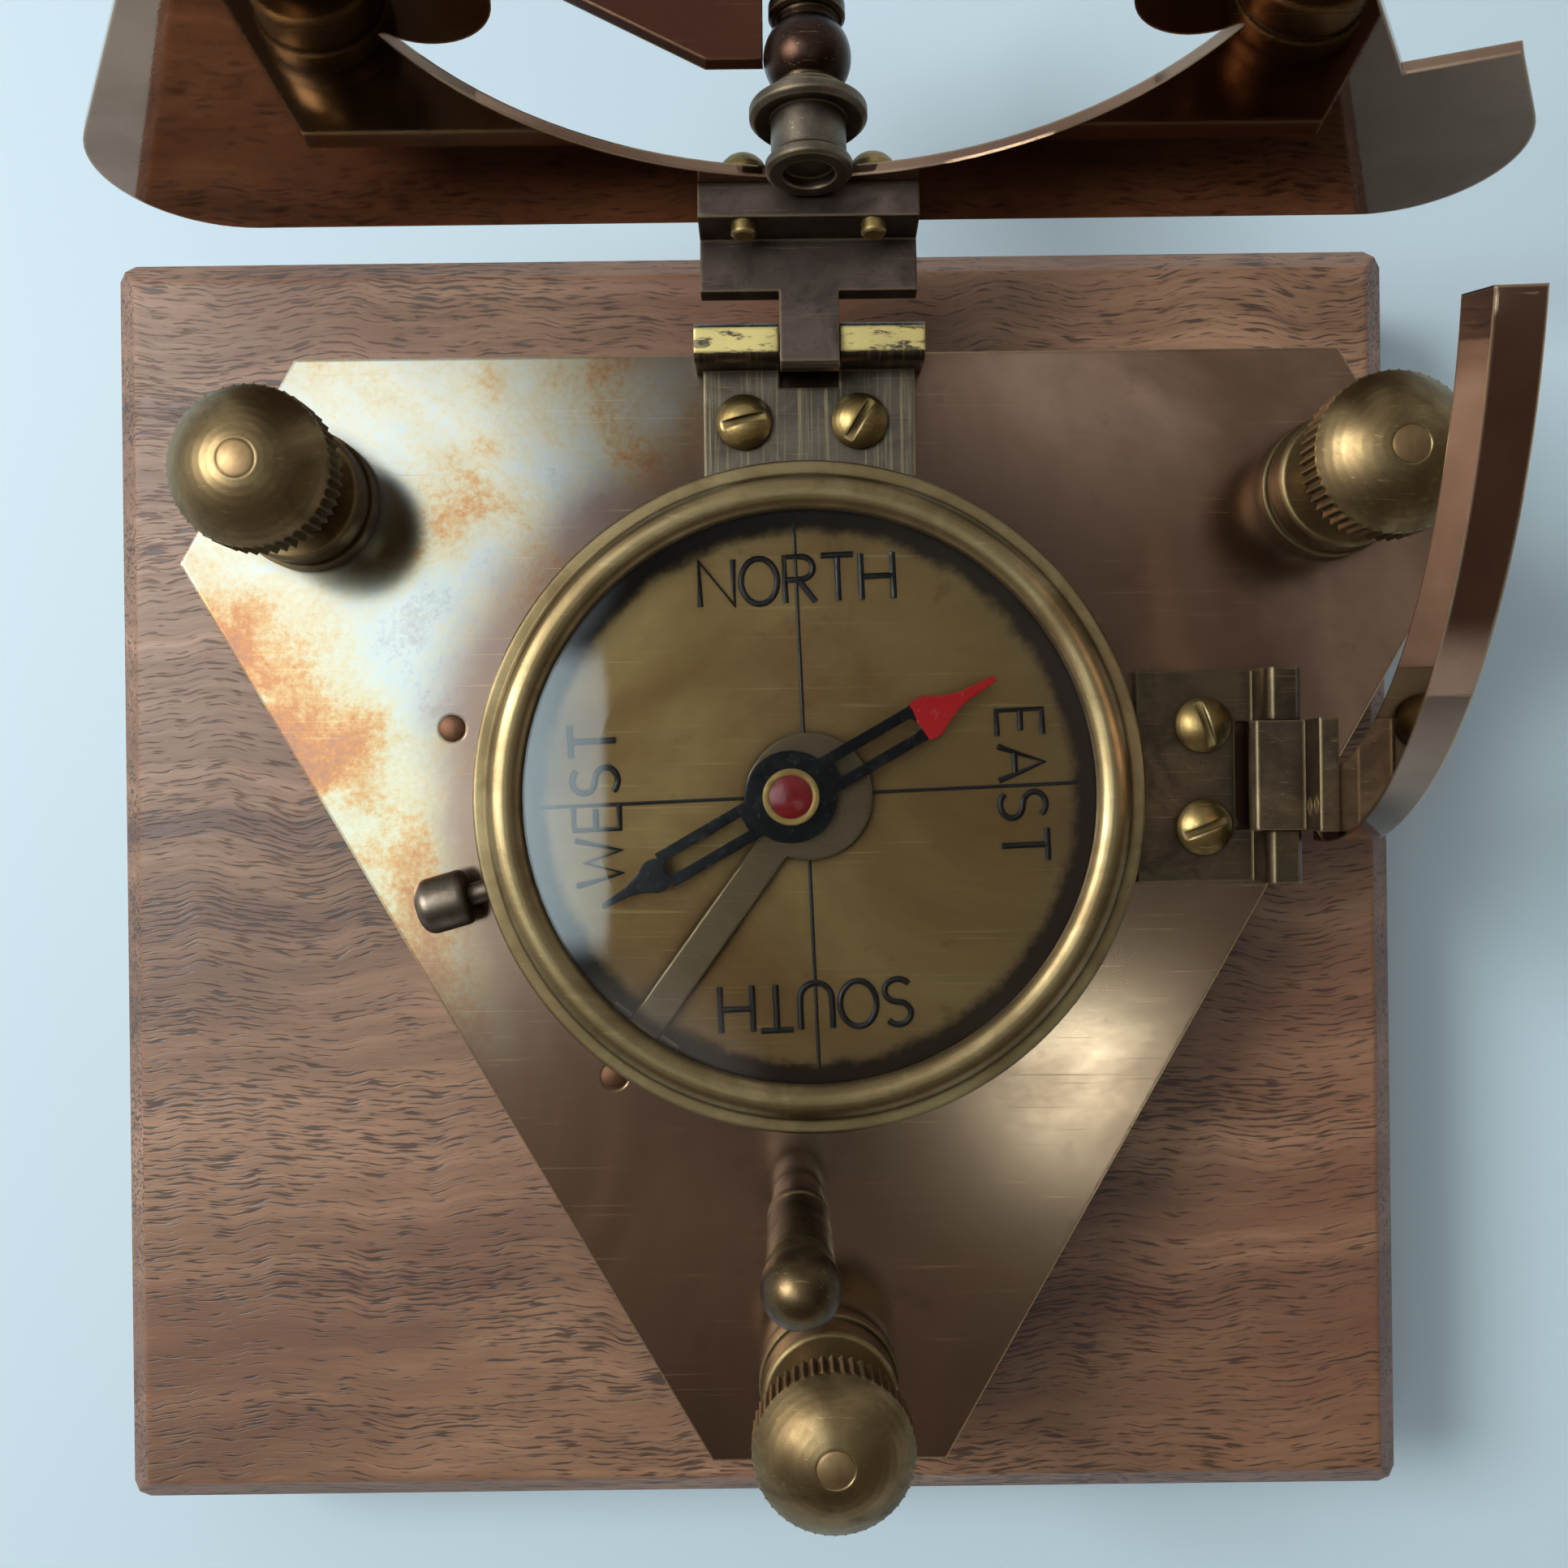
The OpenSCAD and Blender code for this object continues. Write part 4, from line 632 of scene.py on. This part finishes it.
def addCamera(look):
    data = bpy.data.cameras.new("photoView")
    data.lens = look["lens"]
    data.sensor_width = look["sensor"]
    data.clip_start = look["near"]
    camera = bpy.data.objects.new("photoView", data)
    camera.location = (compassX + look["east"], compassY + look["north"], plateTop + look["height"])
    camera.rotation_euler = (0, 0, math.radians(look["turn"]))
    scene.collection.objects.link(camera)
    scene.camera = camera


addCamera(photoView)

# floor: plain and pale
paleFloor = {"colour": srgb(186, 204, 213), "roughness": 0.6, "size": 3.0}


def addFloor(look):
    half = look["size"] / 2
    corners = [(-half, -half, 0), (half, -half, 0), (half, half, 0), (-half, half, 0)]
    mesh = bpy.data.meshes.new("floor")
    mesh.from_pydata(corners, [], [(0, 1, 2, 3)])
    floor = bpy.data.objects.new("floor", mesh)
    scene.collection.objects.link(floor)
    material, shader = newMaterial("paleFloor")
    shader["Base Color"].default_value = look["colour"]
    shader["Roughness"].default_value = look["roughness"]
    mesh.materials.append(material)


addFloor(paleFloor)

# sky: a window to the west, a dim warm room to the south and east, and soft patches of light
# places in it are flat: how far east and north a ray goes for each step up
studioSky = {"horizon": (0.66, 0.70, 0.73, 1), "horizonFrom": 0.30, "horizonTo": 0.08, "leastUp": 0.02,
             "dim": (0.13, 0.102, 0.085, 1), "bright": (0.60, 0.62, 0.63, 1), "brightWay": (-0.4, 0.9, 0),
             "dimBelow": -0.45, "brightAbove": 0.75,
             "overhead": 0.05, "overheadFrom": 0.17, "overheadTo": 0.30,
             "window": (3.1, 3.8, 4.0, 1), "windowEast": -0.136, "eastSoft": 0.004, "windowFade": 0.075,
             "windowFaint": 0.4, "windowSouth": -0.12, "windowNorth": 0.10, "sideSoft": 0.015,
             "windowFull": 0.5, "windowEnd": 0.9, "patchFull": 0.7, "patchEnd": 1.3,
             "patches": (
                 {"at": (-0.29, 0.2, 0), "turn": 0, "size": (0.14, 0.13, 1), "light": (2.9, 3.3, 3.5, 1)},
                 {"at": (0.19, -0.19, 0), "turn": 12, "size": (0.042, 0.024, 1), "light": (15, 19, 18, 1)},
                 {"at": (0.33, 0.1, 0), "turn": 0, "size": (0.1, 0.12, 1), "light": (0.4, 0.4, 0.4, 1)},
                 {"at": (-0.13, -0.24, 0), "turn": 0, "size": (0.1, 0.1, 1), "light": (0.42, 0.38, 0.34, 1)},
                 {"at": (0.24, 0.28, 0), "turn": 0, "size": (0.12, 0.07, 1), "light": (0.8, 0.82, 0.85, 1)})}


def windowMask(tree, east, north, away, look):
    edge = look["windowEast"]
    mask = spread(tree, east, edge + look["eastSoft"], edge - look["eastSoft"], smooth=True)
    faint = spread(tree, east, edge, edge - look["windowFade"], look["windowFaint"], 1.0)
    mask = calc(tree, "MULTIPLY", mask, faint)
    for side, soft in (("windowSouth", look["sideSoft"]), ("windowNorth", -look["sideSoft"])):
        inside = spread(tree, north, look[side] - soft, look[side] + soft, smooth=True)
        mask = calc(tree, "MULTIPLY", mask, inside)
    near = spread(tree, away, look["windowEnd"], look["windowFull"], smooth=True)
    return calc(tree, "MULTIPLY", mask, near)


def addSky(look):
    world = bpy.data.worlds.new("studioSky")
    scene.world = world
    world.use_nodes = True
    tree = world.node_tree
    ray = tree.nodes.new("ShaderNodeTexCoord").outputs["Generated"]
    split = place(tree, "SeparateXYZ", {0: ray}).outputs
    up = calc(tree, "MAXIMUM", split["Z"], look["leastUp"])
    east = calc(tree, "DIVIDE", split["X"], up)
    north = calc(tree, "DIVIDE", split["Y"], up)
    flat = place(tree, "CombineXYZ", {"X": east, "Y": north}).outputs[0]
    away = measure(tree, "LENGTH", flat)
    side = measure(tree, "DOT_PRODUCT", ray, look["brightWay"])
    side = spread(tree, side, look["dimBelow"], look["brightAbove"], smooth=True)
    sky = mix(tree, side, look["dim"], look["bright"])
    shade = spread(tree, away, look["overheadFrom"], look["overheadTo"], look["overhead"], 1.0, smooth=True)
    grey = place(tree, "CombineColor", {0: shade, 1: shade, 2: shade}).outputs[0]
    sky = mix(tree, 1.0, sky, grey, "MULTIPLY")
    low = spread(tree, split["Z"], look["horizonFrom"], look["horizonTo"], smooth=True)
    sky = mix(tree, low, sky, look["horizon"])
    sky = mix(tree, windowMask(tree, east, north, away, look), sky, look["window"])
    for patch in look["patches"]:
        local = place(tree, "Mapping", {"Vector": flat, "Location": patch["at"], "Scale": patch["size"],
                                        "Rotation": (0, 0, math.radians(patch["turn"]))},
                      vector_type="TEXTURE")
        reach = measure(tree, "LENGTH", local.outputs[0])
        mask = spread(tree, reach, look["patchEnd"], look["patchFull"], smooth=True)
        sky = mix(tree, mask, sky, patch["light"])
    tree.links.new(sky, tree.nodes["Background"].inputs["Color"])


addSky(studioSky)

# lamp: a soft disc in the window's direction, aimed at the compass
windowLamp = {"spot": (-0.52, 0.16, 0.6), "size": 0.35, "power": 6, "tint": (0.95, 0.98, 1.0)}


def addLamp(look):
    data = bpy.data.lights.new("windowLight", "AREA")
    data.shape = "DISK"
    data.size = look["size"]
    data.energy = look["power"]
    data.color = look["tint"]
    lamp = bpy.data.objects.new("windowLight", data)
    lamp.location = look["spot"]
    aim = Vector((compassX, compassY, plateTop)) - Vector(look["spot"])
    lamp.rotation_euler = aim.to_track_quat("-Z", "Y").to_euler()
    scene.collection.objects.link(lamp)


addLamp(windowLamp)
print("camera, floor and light set")
